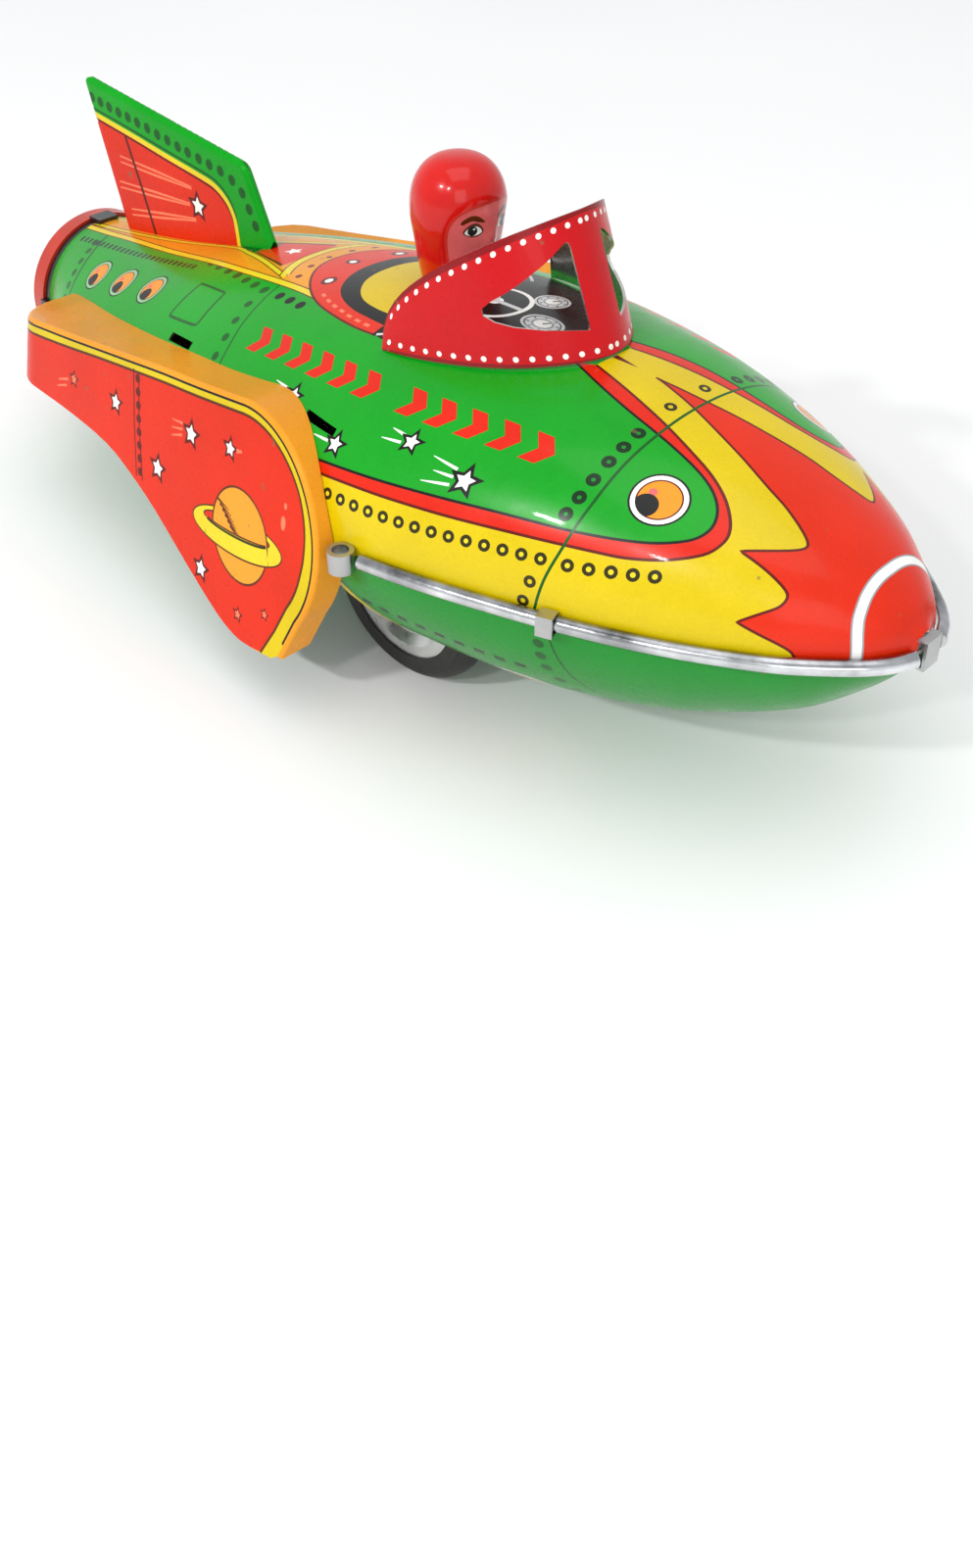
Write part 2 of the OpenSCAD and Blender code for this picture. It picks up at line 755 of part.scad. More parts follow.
module axle_washers() {
  // Thrust washers between the motor plates and the axle's collars
  color("silver") both_sides() about_axle(front_x, front_z)
    translate([axle_r, -plate_y - plate_t - 1]) square([1.6, 0.9]);
}

rear_z = rear_r;
rear_half = 3;        // half width of the rear wheel
rear_pin_r = 0.9;
cheek_y = 3.8;        // inner face of each cheek of the rear bracket
cheek_t = 0.6;

module rear_bracket() {
  // Folded bracket inside the lower shell, with its cheeks through the slot
  bridge_z = 2 * rear_r + 1.4;
  color("silver") {
    both_sides() across(-cheek_y - cheek_t, -cheek_y) difference() {
      union() {
        translate([rear_x - 4, rear_z]) square([8, bridge_z - rear_z]);
        translate([rear_x, rear_z]) circle(r = 2);
      }
      translate([rear_x, rear_z]) circle(r = rear_pin_r);
    }
    translate([rear_x - 4, -cheek_y - cheek_t, bridge_z - cheek_t])
      cube([8, 2 * (cheek_y + cheek_t), cheek_t]);
    both_sides() translate([rear_x - 3, -9.2, 9.3]) cube([6, 9.2 - cheek_y, cheek_t]);
  }
}

module rear_axle() {
  color("silver") bar_y(rear_x, rear_z, rear_pin_r, -cheek_y - cheek_t - 0.5,
    cheek_y + cheek_t + 0.5);
}

module rear_wheel() {
  color([0.12, 0.12, 0.12]) about_axle(rear_x, rear_z) difference() {
    polygon([[rear_pin_r + fit, -rear_half], [rear_r - 1.2, -rear_half],
      [rear_r - 0.35, -rear_half + 0.5], [rear_r, -rear_half + 1.6],
      [rear_r, rear_half - 1.6], [rear_r - 0.35, rear_half - 0.5],
      [rear_r - 1.2, rear_half], [rear_pin_r + fit, rear_half]]);
    translate([2.6, rear_half - 0.6]) square([2, 1]);
    translate([2.6, -rear_half - 0.4]) square([2, 1]);
  }
}

upper_shell();
lower_shell();
trim_strip_right();
trim_strip_left();
trim_clips();
trim_end_knobs();
nose_clip();
tail_clips();
nozzle_collar();
nozzle_ring();
exhaust_disc();
tail_fin();
pod_right();
pod_left();
windscreen();
driver_head();
motor_plate_right();
motor_plate_left();
motor_spacers();
motor_rivets();
drive_axle();
drive_gear();
idler_shaft();
idler_pinion();
idler_gear();
flywheel_shaft();
flywheel_pinion();
flywheel();
wheel_hub_right();
wheel_hub_left();
tyre_right();
tyre_left();
axle_washers();
rear_bracket();
rear_axle();
rear_wheel();
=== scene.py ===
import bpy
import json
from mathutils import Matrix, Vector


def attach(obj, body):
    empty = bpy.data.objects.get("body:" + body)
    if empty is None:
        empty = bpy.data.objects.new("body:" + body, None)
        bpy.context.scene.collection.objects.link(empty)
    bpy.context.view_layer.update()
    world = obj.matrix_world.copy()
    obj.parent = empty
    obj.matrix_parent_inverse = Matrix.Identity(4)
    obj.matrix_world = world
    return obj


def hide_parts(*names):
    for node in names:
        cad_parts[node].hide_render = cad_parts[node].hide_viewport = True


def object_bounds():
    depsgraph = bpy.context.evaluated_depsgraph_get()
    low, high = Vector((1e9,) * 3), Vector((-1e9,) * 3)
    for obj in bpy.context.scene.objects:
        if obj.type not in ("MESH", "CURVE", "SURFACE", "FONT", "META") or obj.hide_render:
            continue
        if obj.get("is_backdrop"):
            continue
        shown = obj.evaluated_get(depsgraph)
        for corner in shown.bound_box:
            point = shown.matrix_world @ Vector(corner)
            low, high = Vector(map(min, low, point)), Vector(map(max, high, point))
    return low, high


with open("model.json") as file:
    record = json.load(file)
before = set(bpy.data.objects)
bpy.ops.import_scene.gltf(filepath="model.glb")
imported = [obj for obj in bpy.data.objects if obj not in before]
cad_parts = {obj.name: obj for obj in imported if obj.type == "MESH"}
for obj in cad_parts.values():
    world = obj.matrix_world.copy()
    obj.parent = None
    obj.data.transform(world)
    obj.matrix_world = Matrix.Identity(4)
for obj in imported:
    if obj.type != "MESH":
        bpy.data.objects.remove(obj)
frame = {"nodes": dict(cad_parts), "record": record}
cad_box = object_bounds()

import copy
import json
import math

import bpy
import numpy as np
from mathutils import Matrix, Vector
from mathutils.geometry import delaunay_2d_cdt

MM = 0.001

# ---- hull form
# Distance along the hull, half width, top height, keel height, in millimetres
SECTIONS = np.array([
    (-85.5, 13.8, 36.8, 9.2), (-75, 18, 38.3, 8.3), (-57, 23.2, 41.4, 7.4),
    (-32, 28.4, 47, 6.3), (-7, 32.3, 51.4, 5.5), (13, 34.2, 53.2, 5.2),
    (28, 33.4, 53.6, 5.1), (48, 28.6, 52.8, 5.9), (65, 22.6, 49.3, 9.9),
    (79, 15.2, 44.3, 17.2), (86.6, 9, 40, 24.2), (89.8, 5.2, 37.3, 28.2),
    (91.4, 1.6, 34.6, 31.4)])
TAIL_X, NOSE_X = SECTIONS[0, 0], SECTIONS[-1, 0]
LAST = len(SECTIONS) - 1
TIN = 0.4


def form(column, x):
    """Smooth value of a column of SECTIONS at x."""
    x = np.clip(np.asarray(x, float), TAIL_X, NOSE_X)
    at, v = SECTIONS[:, 0], SECTIONS[:, column]
    k = np.clip(np.searchsorted(at, x, side="left") - 1, 0, LAST - 1)
    below = np.maximum(np.arange(LAST + 1) - 1, 0)
    above = np.minimum(np.arange(LAST + 1) + 1, LAST)
    slope = (v[above] - v[below]) / (at[above] - at[below])
    d = at[k + 1] - at[k]
    t = (x - at[k]) / d
    return ((2 * t**3 - 3 * t**2 + 1) * v[k] + (t**3 - 2 * t**2 + t) * d * slope[k]
            + (3 * t**2 - 2 * t**3) * v[k + 1] + (t**3 - t**2) * d * slope[k + 1])


def seam(x):
    s = (np.asarray(x, float) - 23) / 70
    return 30.15 + 2.97 * s - s * s


def roundness(x, up):
    s = np.minimum(1, (np.asarray(x, float) - TAIL_X) / 30)
    nose = np.clip((np.asarray(x, float) - 45) / 25, 0, 1)
    return np.where(up, 2 + 0.18 * s, 2 - 0.2 * nose)


def hull(x, a):
    """Point of the hull at x: a is 0 at the right belt, 90 on top, -90 at the keel."""
    x, a = np.asarray(x, float), np.asarray(a, float)
    up = a >= 0
    n = 2 / roundness(x, up)
    c, s = np.cos(np.radians(a)), np.abs(np.sin(np.radians(a)))
    h = np.where(up, form(2, x) - seam(x), seam(x) - form(3, x))
    y = -form(1, x) * np.sign(c) * np.abs(c) ** n
    return np.stack([x, y, seam(x) + np.where(up, 1, -1) * h * s**n], -1)


def deck(x, y):
    """Chart point of the upper shell at x, y."""
    c = -np.sign(y) * (abs(y) / float(form(1, x))) ** (float(roundness(x, True)) / 2)
    return (x, math.degrees(math.acos(max(-1, min(1, c)))))


def side_at(x, z):
    """Chart point of the lower shell's right side at x, z."""
    h = float(seam(x) - form(3, x))
    s = ((float(seam(x)) - z) / h) ** (float(roundness(x, False)) / 2)
    return (x, -math.degrees(math.asin(max(0, min(1, s)))))


def under_at(x, y):
    """Chart point of the lower shell's right side at x, y below the belt."""
    c = (abs(y) / float(form(1, x))) ** (float(roundness(x, False)) / 2)
    return (x, -math.degrees(math.acos(max(-1, min(1, c)))))


# ---- artwork
def rgb(r, g, b):
    """Screen colour, 0 to 255, as linear light."""
    return tuple(v / 12.92 if v <= 0.04045 else ((v + 0.055) / 1.055) ** 2.4
                 for v in (r / 255, g / 255, b / 255))


INKS = {name: rgb(*tone) for name, tone in {
    "green": (2, 152, 24), "leaf": (8, 134, 34), "moss": (4, 84, 18), "forest": (2, 44, 10),
    "yellow": (212, 186, 1), "lemon": (226, 202, 36), "olive": (48, 42, 4), "red": (212, 30, 2),
    "scarlet": (214, 38, 2), "crimson": (196, 0, 12), "wine": (138, 4, 14),
    "orange": (236, 144, 22), "amber": (226, 148, 22), "apricot": (232, 152, 38),
    "brown": (92, 38, 6), "maroon": (96, 12, 4), "black": (12, 11, 10), "white": (242, 241, 236),
    "grey": (150, 152, 155), "silver": (206, 207, 206), "mint": (140, 190, 140),
    "skyline": (70, 74, 82), "pink": (224, 98, 98), "face_edge_shade": (206, 50, 42),
    "rose": (244, 122, 88), "helmet": (206, 10, 3),
}.items()}


def join(*lines):
    return np.concatenate(lines)


def curve(points, per=6, closed=False):
    """Smooth curve through the points."""
    p = np.array(points, float)
    n = len(p)
    out = []
    for i in range(n if closed else n - 1):
        a, b, c, d = (p[(i + k) % n] if closed else p[min(max(i + k, 0), n - 1)]
                      for k in (-1, 0, 1, 2))
        for t in np.arange(per) / per:
            out.append(0.5 * (2 * b + (c - a) * t + (2 * a - 5 * b + 4 * c - d) * t * t
                              + (3 * b - a - 3 * c + d) * t**3))
    if not closed:
        out.append(p[-1])
    return np.array(out)


def on_deck(points):
    """Chart points of the upper shell for points at x, y."""
    return [deck(x, y) for x, y in points]


def deck_curve(points, closed=False):
    return curve(on_deck(points), 4, closed)


def ray(turn):
    """Unit vector at an angle in degrees."""
    return np.array([math.cos(math.radians(turn)), math.sin(math.radians(turn))])


def run_along(p):
    """Distance along a line of points, from its start."""
    return join([0], np.cumsum(np.linalg.norm(np.diff(p, axis=0), axis=1)))


def area(p):
    q = np.roll(p, -1, 0)
    return float((p[:, 0] * q[:, 1] - q[:, 0] * p[:, 1]).sum()) / 2


def inside(pts, poly):
    """Which points lie inside the polygon."""
    hit = np.zeros(len(pts), bool)
    for a, b in zip(poly, np.roll(poly, -1, 0)):
        if a[1] == b[1]:
            continue
        side = (a[1] > pts[:, 1]) != (b[1] > pts[:, 1])
        hit ^= side & (pts[:, 0] < (b[0] - a[0]) * (pts[:, 1] - a[1]) / (b[1] - a[1]) + a[0])
    return hit


class Sheet:
    """Artwork drawn on a flat chart that is wrapped onto a pressed sheet.

    surface maps chart points to millimetres, k gives roughly the millimetres per chart
    unit, and twin mirrors a chart point for artwork that shows on both sides."""

    def __init__(self, surface, outline, ink, k=(1, 1), twin=None):
        self.surface, self.k, self.twin = surface, np.array(k, float), None
        self.shapes, self.guides = [], []
        self.add(outline, ink)
        self.twin = twin

    def single(self):
        """The same artwork, for shapes that have no twin."""
        sheet = copy.copy(self)
        sheet.twin = None
        return sheet

    def add(self, points, ink):
        p = np.array(points, float)
        for q in [p, self.twin(p)] if self.twin else [p]:
            self.shapes.append((q if area(q * self.k) > 0 else q[::-1], ink))

    def scale(self, c):
        e = 0.05
        p = self.surface(np.array([c[0] - e, c[0] + e, c[0], c[0]]),
                         np.array([c[1], c[1], c[1] - e, c[1] + e]))
        return np.array([np.linalg.norm(p[1] - p[0]), np.linalg.norm(p[3] - p[2])]) / (2 * e)

    def disc(self, c, r, ink, ry=None, n=20):
        t = np.radians(np.arange(n) * 360 / n)
        p = np.stack([r * np.cos(t), (ry or r) * np.sin(t)], 1)
        self.add(np.array(c) + p / self.scale(c), ink)

    def dots(self, points, r, ink, n=12):
        for c in points:
            self.disc(c, r, ink, n=n)

    def ring(self, c, r, hole, ink, core, n=16):
        self.disc(c, r, ink, n=n)
        self.disc(c, hole, core, n=max(8, n - 4))

    def band(self, c, r, hole, ink, n=14):
        """Ring that leaves what is inside it showing, as two halves."""
        s = self.scale(c)
        for a in (0, 180):
            t = np.radians(a + np.linspace(0, 180, n))
            arc = np.stack([np.cos(t), np.sin(t)], 1)
            self.add(np.array(c) + join(arc * r, arc[::-1] * hole) / s, ink)

    def line(self, points, width, ink):
        """Stroke of even width, given in millimetres."""
        p = np.array(points, float)
        s = np.array([self.scale(q) for q in p])
        width = np.broadcast_to(np.asarray(width, float), len(p))
        d = np.gradient(p, axis=0) * s
        d /= np.linalg.norm(d, axis=1)[:, None]
        side = np.stack([-d[:, 1], d[:, 0]], 1) / s * width[:, None] / 2
        self.add(join(p + side, (p - side)[::-1]), ink)

    def loop(self, points, width, ink):
        """Closed stroke, drawn as two halves."""
        p = np.array(points, float)
        half = len(p) // 2
        self.line(p[:half + 1], width, ink)
        self.line(join(p[half:], p[:1]), width, ink)

    def star(self, c, r, ink, depth, turn=90):
        tips = 5
        t = np.radians(turn + np.arange(2 * tips) * 180 / tips)
        d = np.where(np.arange(2 * tips) % 2, r * depth, r)
        p = np.stack([d * np.cos(t), d * np.sin(t)], 1)
        self.add(np.array(c) + p / self.scale(c), ink)

    def dash(self, c, length, width, ink, turn=0):
        corner = np.array([(-1, -1), (1, -1), (1, 1), (-1, 1)]) * (length / 2, width / 2)
        x, y = corner.T
        cos, sin = ray(turn)
        p = np.stack([x * cos - y * sin, x * sin + y * cos], 1)
        self.add(np.array(c) + p / self.scale(c), ink)

    def triangles(self, step):
        points, faces = [], []
        for shape, _ in self.shapes:
            q = shape * self.k
            start = len(points)
            for a, b in zip(q, np.roll(q, -1, 0)):
                n = max(1, int(math.ceil(np.linalg.norm(b - a) / step)))
                points += [a + (b - a) * t for t in np.arange(n) / n]
            faces.append(list(range(start, len(points))))
        outline = np.array([points[i] for i in faces[0]])
        low, high = outline.min(0), outline.max(0)
        rows = np.arange(low[1] + step * 0.53, high[1], step * 0.87)
        grid = np.array([(u + (j % 2) * step / 2, v) for j, v in enumerate(rows)
                         for u in np.arange(low[0] + step * 0.31, high[0], step)])
        grid = grid[inside(grid, outline)]
        points += list(grid) + [np.array(g) * self.k for g in self.guides]
        verts, _, tris, _, _, origin = delaunay_2d_cdt(
            [Vector(p) for p in points], [], faces, 0, 1e-5, True)
        chart = np.array([tuple(v) for v in verts]) / self.k
        kept, inks = [], []
        for t, o in zip(tris, origin):
            if 0 in o:
                ink = self.shapes[max(o)][1]
                if ink is not None:
                    kept.append(tuple(t))
                    inks.append(ink)
        used = np.unique(np.array(kept))
        renumber = np.full(len(chart), -1)
        renumber[used] = np.arange(len(used))
        return chart[used], renumber[np.array(kept)], inks


def place(name, data):
    thing = bpy.data.objects.new(name, data)
    bpy.context.collection.objects.link(thing)
    return thing


def normals_of(surface, chart):
    e = 0.02
    u, v = chart[:, 0], chart[:, 1]
    n = np.cross(surface(u + e, v) - surface(u - e, v), surface(u, v + e) - surface(u, v - e))
    return n / np.maximum(np.linalg.norm(n, axis=1), 1e-12)[:, None]


class Solid:
    """Collects faces with corner normals, inks and a material number, in millimetres."""

    def __init__(self):
        self.verts, self.faces, self.normals, self.inks, self.slots = [], [], [], [], []
        self.count = 0

    def part(self, verts, faces, normals, inks, slot):
        """normals: one per vertex, or None for flat faces. inks: one, or one per face."""
        verts, base = np.asarray(verts, float), self.count
        inks = [inks] * len(faces) if isinstance(inks, str) else inks
        self.verts.append(verts)
        for f, ink in zip(faces, inks):
            f = [int(i) for i in f]
            self.faces.append([i + base for i in f])
            if normals is None:
                n = np.cross(verts[f[1]] - verts[f[0]], verts[f[2]] - verts[f[0]])
                n = n / max(np.linalg.norm(n), 1e-12)
                self.normals += [n] * len(f)
            else:
                self.normals += [normals[i] for i in f]
            self.inks += [ink] * len(f)
            self.slots.append(slot)
        self.count += len(verts)

    def sheet(self, sheet, step, thick=TIN, bare=1):
        """Adds a printed sheet with its bare back and cut edges."""
        chart, tris, inks = sheet.triangles(step)
        out = sheet.surface(chart[:, 0], chart[:, 1])
        n = normals_of(sheet.surface, chart)
        self.part(out, tris, n, inks, 0)
        back = out - n * thick
        self.part(back, tris[:, ::-1], -n, "silver", bare)
        edges = {}
        for t in tris:
            for i in range(3):
                a, b = int(t[i]), int(t[(i + 1) % 3])
                if (b, a) in edges:
                    del edges[(b, a)]
                else:
                    edges[(a, b)] = True
        pairs = np.array(list(edges), int)
        if len(pairs):
            both = join(out[pairs[:, 0]], out[pairs[:, 1]],
                        back[pairs[:, 1]], back[pairs[:, 0]])
            m = len(pairs)
            quads = [(i + m, i, i + 3 * m, i + 2 * m) for i in range(m)]
            self.part(both, quads, None, "silver", bare)
        return self

    def make(self, name, materials, mirror=False):
        v = np.concatenate(self.verts) * MM
        n = np.array(self.normals)
        faces, inks = self.faces, self.inks
        if mirror:
            v, n = v * (1, -1, 1), n * (1, -1, 1)
        mesh = bpy.data.meshes.new(name)
        mesh.from_pydata(v.tolist(), [], faces)
        if mirror:
            mesh.flip_normals()
            starts = np.cumsum([0] + [len(f) for f in faces[:-1]])
            order = np.concatenate([[s] + list(range(s + len(f) - 1, s, -1))
                                    for s, f in zip(starts, faces)])
            n = n[order]
        attribute = mesh.color_attributes.new("ink", "FLOAT_COLOR", "CORNER")
        colours = np.array([INKS[i] + (1,) for i in inks], np.float32)
        attribute.data.foreach_set("color", colours.ravel())
        for m in materials:
            mesh.materials.append(m)
        mesh.polygons.foreach_set("material_index", np.array(self.slots, np.int32))
        mesh.polygons.foreach_set("use_smooth", np.ones(len(faces), bool))
        mesh.normals_split_custom_set(n.tolist())
        mesh.update()
        return place(name, mesh)


# ---- materials
# sockets of a Mix node that mixes colours
MIX_FACTOR, MIX_A, MIX_B, MIX_RESULT = 0, 6, 7, 2


class Finish:
    """Small helper for node materials on object coordinates."""

    def __init__(self, name):
        self.material = bpy.data.materials.new(name)
        self.material.use_nodes = True
        self.tree = self.material.node_tree
        self.shader = self.tree.nodes["Principled BSDF"]
        self.coords = self.node("ShaderNodeTexCoord").outputs["Object"]

    def node(self, kind, **inputs):
        n = self.tree.nodes.new(kind)
        for key, value in inputs.items():
            self.set(n, key.replace("_", " "), value)
        return n

    def set(self, node, key, value):
        socket = node.inputs[key]
        if isinstance(value, bpy.types.NodeSocket):
            self.tree.links.new(value, socket)
        else:
            socket.default_value = value

    def noise(self, scale, detail=3, roughness=0.55):
        return self.node("ShaderNodeTexNoise", Vector=self.coords, Scale=scale, Detail=detail,
                         Roughness=roughness).outputs["Fac"]

    def ramp(self, value, low, high, a, b):
        """value from low..high spread over a..b."""
        n = self.node("ShaderNodeMapRange", Value=value)
        for key, v in zip(("From Min", "From Max", "To Min", "To Max"), (low, high, a, b)):
            n.inputs[key].default_value = v
        return n.outputs["Result"]

    def cloud(self, scale, detail, a=0, b=1):
        """Soft patches from a to b."""
        return self.ramp(self.noise(scale, detail), 0.3, 0.7, a, b)

    def mix(self, factor, a, b, blend="MIX"):
        n = self.node("ShaderNodeMix")
        n.data_type, n.blend_type = "RGBA", blend
        self.set(n, MIX_FACTOR, factor)
        for index, v in ((MIX_A, a), (MIX_B, b)):
            self.set(n, index, v if isinstance(v, bpy.types.NodeSocket) else tuple(v) + (1,))
        return n.outputs[MIX_RESULT]

    def bump(self, height, strength, distance):
        n = self.node("ShaderNodeBump", Height=height)
        n.inputs["Strength"].default_value = strength
        n.inputs["Distance"].default_value = distance
        self.set(self.shader, "Normal", n.outputs["Normal"])

    def fixed(self, **values):
        for key, v in values.items():
            self.shader.inputs[key.replace("_", " ")].default_value = v
        return self


def ink_finish(name, rough=0.26, coat=0.12, gloss=0.22):
    f = Finish(name)
    ink = f.node("ShaderNodeAttribute")
    ink.attribute_name = "ink"
    tone = f.mix(f.cloud(60, 4), (0.90,) * 3, (1.04,) * 3)
    grain = f.mix(f.ramp(f.noise(2600, 2), 0.35, 0.65, 0, 1), (0.955,) * 3, (1.02,) * 3)
    colour = f.mix(1.0, ink.outputs["Color"], tone, "MULTIPLY")
    colour = f.mix(1.0, colour, grain, "MULTIPLY")
    speck = f.ramp(f.noise(420, 2, 0.4), 0.755, 0.77, 0, 0.6)
    colour = f.mix(speck, colour, rgb(120, 92, 60))
    f.set(f.shader, "Base Color", colour)
    f.set(f.shader, "Roughness", f.cloud(240, 4, rough - 0.05, rough + 0.08))
    f.bump(f.noise(80, 2, 0.5), 0.05, 0.0003)
    f.fixed(Coat_Weight=coat, Coat_Roughness=0.05, Specular_IOR_Level=gloss)
    return f.material


def metal_finish(name, colour, rough, spread=0.08, wave=0.06, dark=0.82):
    f = Finish(name)
    f.set(f.shader, "Base Color", f.mix(f.cloud(180, 4), tuple(c * dark for c in colour), colour))
    f.set(f.shader, "Roughness", f.cloud(900, 3, rough - spread / 2, rough + spread))
    f.bump(f.noise(260, 3), wave, 0.0002)
    f.fixed(Metallic=1.0)
    return f.material


def paint_finish(name, colour, shade, rough=0.25, coat=0.5, wave=0.08):
    f = Finish(name)
    f.set(f.shader, "Base Color", f.mix(f.cloud(70, 4), shade, colour))
    f.set(f.shader, "Roughness", f.cloud(300, 4, rough - 0.05, rough + 0.09))
    f.bump(f.noise(140, 3), wave, 0.0003)
    f.fixed(Coat_Weight=coat, Coat_Roughness=0.06)
    return f.material


PRINT = ink_finish("printed_tin")
POD_PRINT = ink_finish("printed_pod_tin", coat=0.04, gloss=0.10)
PLASTIC = ink_finish("moulded_head", rough=0.2, coat=0.35)
BARE = metal_finish("bare_tin", (0.72, 0.70, 0.66), 0.24)
CHROME = metal_finish("bright_plate", (0.80, 0.81, 0.83), 0.13, 0.08, 0.10, 0.42)
# darker copy of the chrome for the strips' upward faces: a painted dark reflection on their tops
DARK_REFLECTION_PLATE = metal_finish("dark_reflection_plate", (0.50, 0.51, 0.53), 0.2, 0.08, 0.10, 0.16)
STEEL = metal_finish("plain_steel", (0.50, 0.50, 0.50), 0.32)
HUB = metal_finish("wheel_silver", (0.80, 0.80, 0.79), 0.30)
BRASS = metal_finish("stamped_brass", (0.72, 0.52, 0.22), 0.28)
IRON = metal_finish("turned_iron", (0.20, 0.20, 0.21), 0.42)
RED_PAINT = paint_finish("red_paint", rgb(196, 50, 26), rgb(166, 36, 16), coat=0.2)
ORANGE_PAINT = paint_finish("orange_paint", rgb(236, 140, 22), rgb(214, 112, 12))
BLACK_PAINT = paint_finish("black_paint", rgb(16, 15, 15), rgb(9, 9, 9), 0.35)
RUBBER = paint_finish("black_rubber", rgb(30, 29, 28), rgb(19, 18, 18), 0.55, 0.0, 0.25)

# ---- upper shell
MIRROR_TOP = lambda p: p * (1, -1) + (0, 180)
upper = Sheet(hull, [(TAIL_X, 0), (NOSE_X, 0), (NOSE_X, 180), (TAIL_X, 180)], "green",
              (1, 0.5), MIRROR_TOP)
mid = upper.single()

FIELD_OUT = curve([(-6, 17), (8, 19), (20, 21), (30, 22), (40, 23), (50, 25), (58, 27.6),
                   (62, 29.6), (66, 34), (69.2, 41), (70.3, 48), (70.2, 54), (69, 60),
                   (67, 65.5), (64, 70.2), (60, 73.8), (55, 77.3), (50, 80), (45, 82.5),
                   (40.5, 84.6)], 5)
FIELD_IN = curve([(-6, 21), (8, 23), (20, 25), (30, 26.6), (40, 28.2), (50, 30.2), (55, 31.8),
                  (60, 34.6), (64, 38.4), (67, 44), (68.2, 50), (68.1, 56), (67, 61.5),
                  (65, 66), (62, 69.3), (58, 71.8), (54, 73.6), (50, 75.3), (45, 78),
                  (40, 81.2), (38, 82.5)], 5)
upper.add(join([(-6, 0)], FIELD_OUT, [(40.5, 90), (NOSE_X, 90), (NOSE_X, 0)]), "yellow")
upper.add(join(FIELD_OUT, FIELD_IN[::-1]), "red")
upper.line(FIELD_OUT, 0.40, "maroon")
upper.line(FIELD_IN, 0.38, "black")

ZIGZAG = join(
    curve([(47.8, 90), (50, 89.6), (55, 88), (60, 85.5), (65, 82.5), (70, 78.5), (73, 76),
           (75.8, 72), (77.6, 67.5), (77.5, 63), (75.6, 56.5), (72.4, 48.8)], 5)[:-1],
    curve([(72.4, 48.8), (75, 46.8), (77.2, 43.8), (78.8, 40), (79.2, 36), (78.8, 30.5),
           (77.4, 24.5), (75.4, 17.2)], 5)[:-1],
    curve([(75.4, 17.2), (77.8, 13.6), (80, 10), (81.4, 6), (82, 0)], 5))
upper.add(join(ZIGZAG, [(NOSE_X, 0), (NOSE_X, 90)]), "scarlet")
upper.line(ZIGZAG, 0.36, "maroon")
mid.add(on_deck([(40.6, -0.5), (44.8, 0), (40.6, 0.5)]), "maroon")
NOSE_ARCH = curve([(85.3, 90), (85.3, 80), (85.4, 70), (85.6, 60), (85.9, 50), (86.2, 40),
                   (86.6, 30), (87.1, 15), (87.3, 0)], 6)
upper.line(NOSE_ARCH, 1.6, "grey")
upper.line(NOSE_ARCH, 1.15, "white")

# dotted cross line in front of the windscreen
CROSS = curve([(55.4, 90), (55.4, 73), (55.2, 60), (55, 45), (54.7, 37), (54.1, 25), (53, 12),
               (52.2, 0)], 5)
upper.line(CROSS, 0.40, "moss")
for c in ((53.5, 70), (53.5, 63.5), (53.4, 57), (53.3, 49.6), (53.1, 42.6), (52.7, 36)):
    upper.ring(c, 0.95, 0.28, "forest", "leaf")
for c in ((53.2, 83.8), (51.3, 10.4), (50.7, 3.2)):
    upper.ring(c, 0.86, 0.34, "olive", "yellow")
for k in range(14):
    x = 19.2 + 2.52 * k
    upper.ring((x, 15.6 + 0.0038 * max(0, x - 24) ** 2 * 1.2), 0.86, 0.34, "olive", "lemon")
for c in ((55.4, 19.9), (58, 21), (60.6, 22.6), (63.1, 24.2), (65.5, 26.2)):
    upper.ring(c, 0.88, 0.36, "olive", "lemon")


def porthole(sheet, c, r, rim="white", black=(-0.30, -0.40)):
    """Round window: pale rim, orange glass with a dark disc low at one side and a small painted
    highlight.
    """
    c, s = np.array(c), sheet.scale(c)
    # the small pink disc above and behind the black disc is a painted highlight on the glass
    for at, size, ink, n in (
            ((0, 0), r + 0.28, "black", 36), ((0, 0), r, rim, 36),
            ((0, 0), r * 0.84, "maroon", 32), ((0, 0), r * 0.77, "orange", 32),
            ((-0.36, 0.16), r * 0.16, "pink", 12), (black, r * 0.46, "black", 28)):
        sheet.disc(c + np.array(at) * r / s, size, ink, n=n)
    sheet.band(c, r * 0.99, r * 0.83, rim, n=20)


porthole(mid, (61.4, 53), 3.45)
porthole(mid, (61.4, 133.5), 3.45, black=(-0.30, 0.40))
for c in ((-66, 49), (-56, 51.4), (-45.7, 53)):
    porthole(upper, c, 3.0, "mint", (-0.10, -0.44))


def comet(sheet, c, r, streaks, length):
    """Outlined star with streaks behind it."""
    c, s = np.array(c), sheet.scale(c)
    for k in range(streaks):
        dy = (k - (streaks - 1) / 2) * 1.4
        a = c + np.array([-r * 1.15, dy * 0.8]) / s
        b = c + np.array([-r * 1.15 - length * (1 - 0.25 * (k % 2)), dy * 1.25]) / s
        sheet.line([a, (a + b) / 2, b], [0.42, 0.34, 0.1], "white")
    sheet.star(c, r * 1.75, "black", 0.46)
    sheet.star(c, r * 0.98, "white", 0.5)


comet(upper, (5.2, 38.2), 1.35, 2, 4.5)
comet(upper, (17.4, 30.8), 1.3, 1, 3)
comet(upper, (28.6, 40.3), 1.25, 2, 3.2)
comet(upper, (38.6, 34.8), 1.55, 3, 4.2)

# row of plain chevrons along the side, with one gap
CHEVRON = np.array([(-2.0, -2.2), (0.5, -2.2), (2.2, 0), (0.5, 2.2), (-2.0, 2.2), (-0.3, 0)])
FIRST_X, PITCH, GAP, GAP_AFTER = -8.6, 5.0, 3.6, 5
for k in range(11):
    x = FIRST_X + PITCH * k + (GAP if k > GAP_AFTER else 0)
    c = np.array((x, 49.6 + 0.045 * (x + 8)))
    upper.add(c + CHEVRON / upper.scale(c), "red")

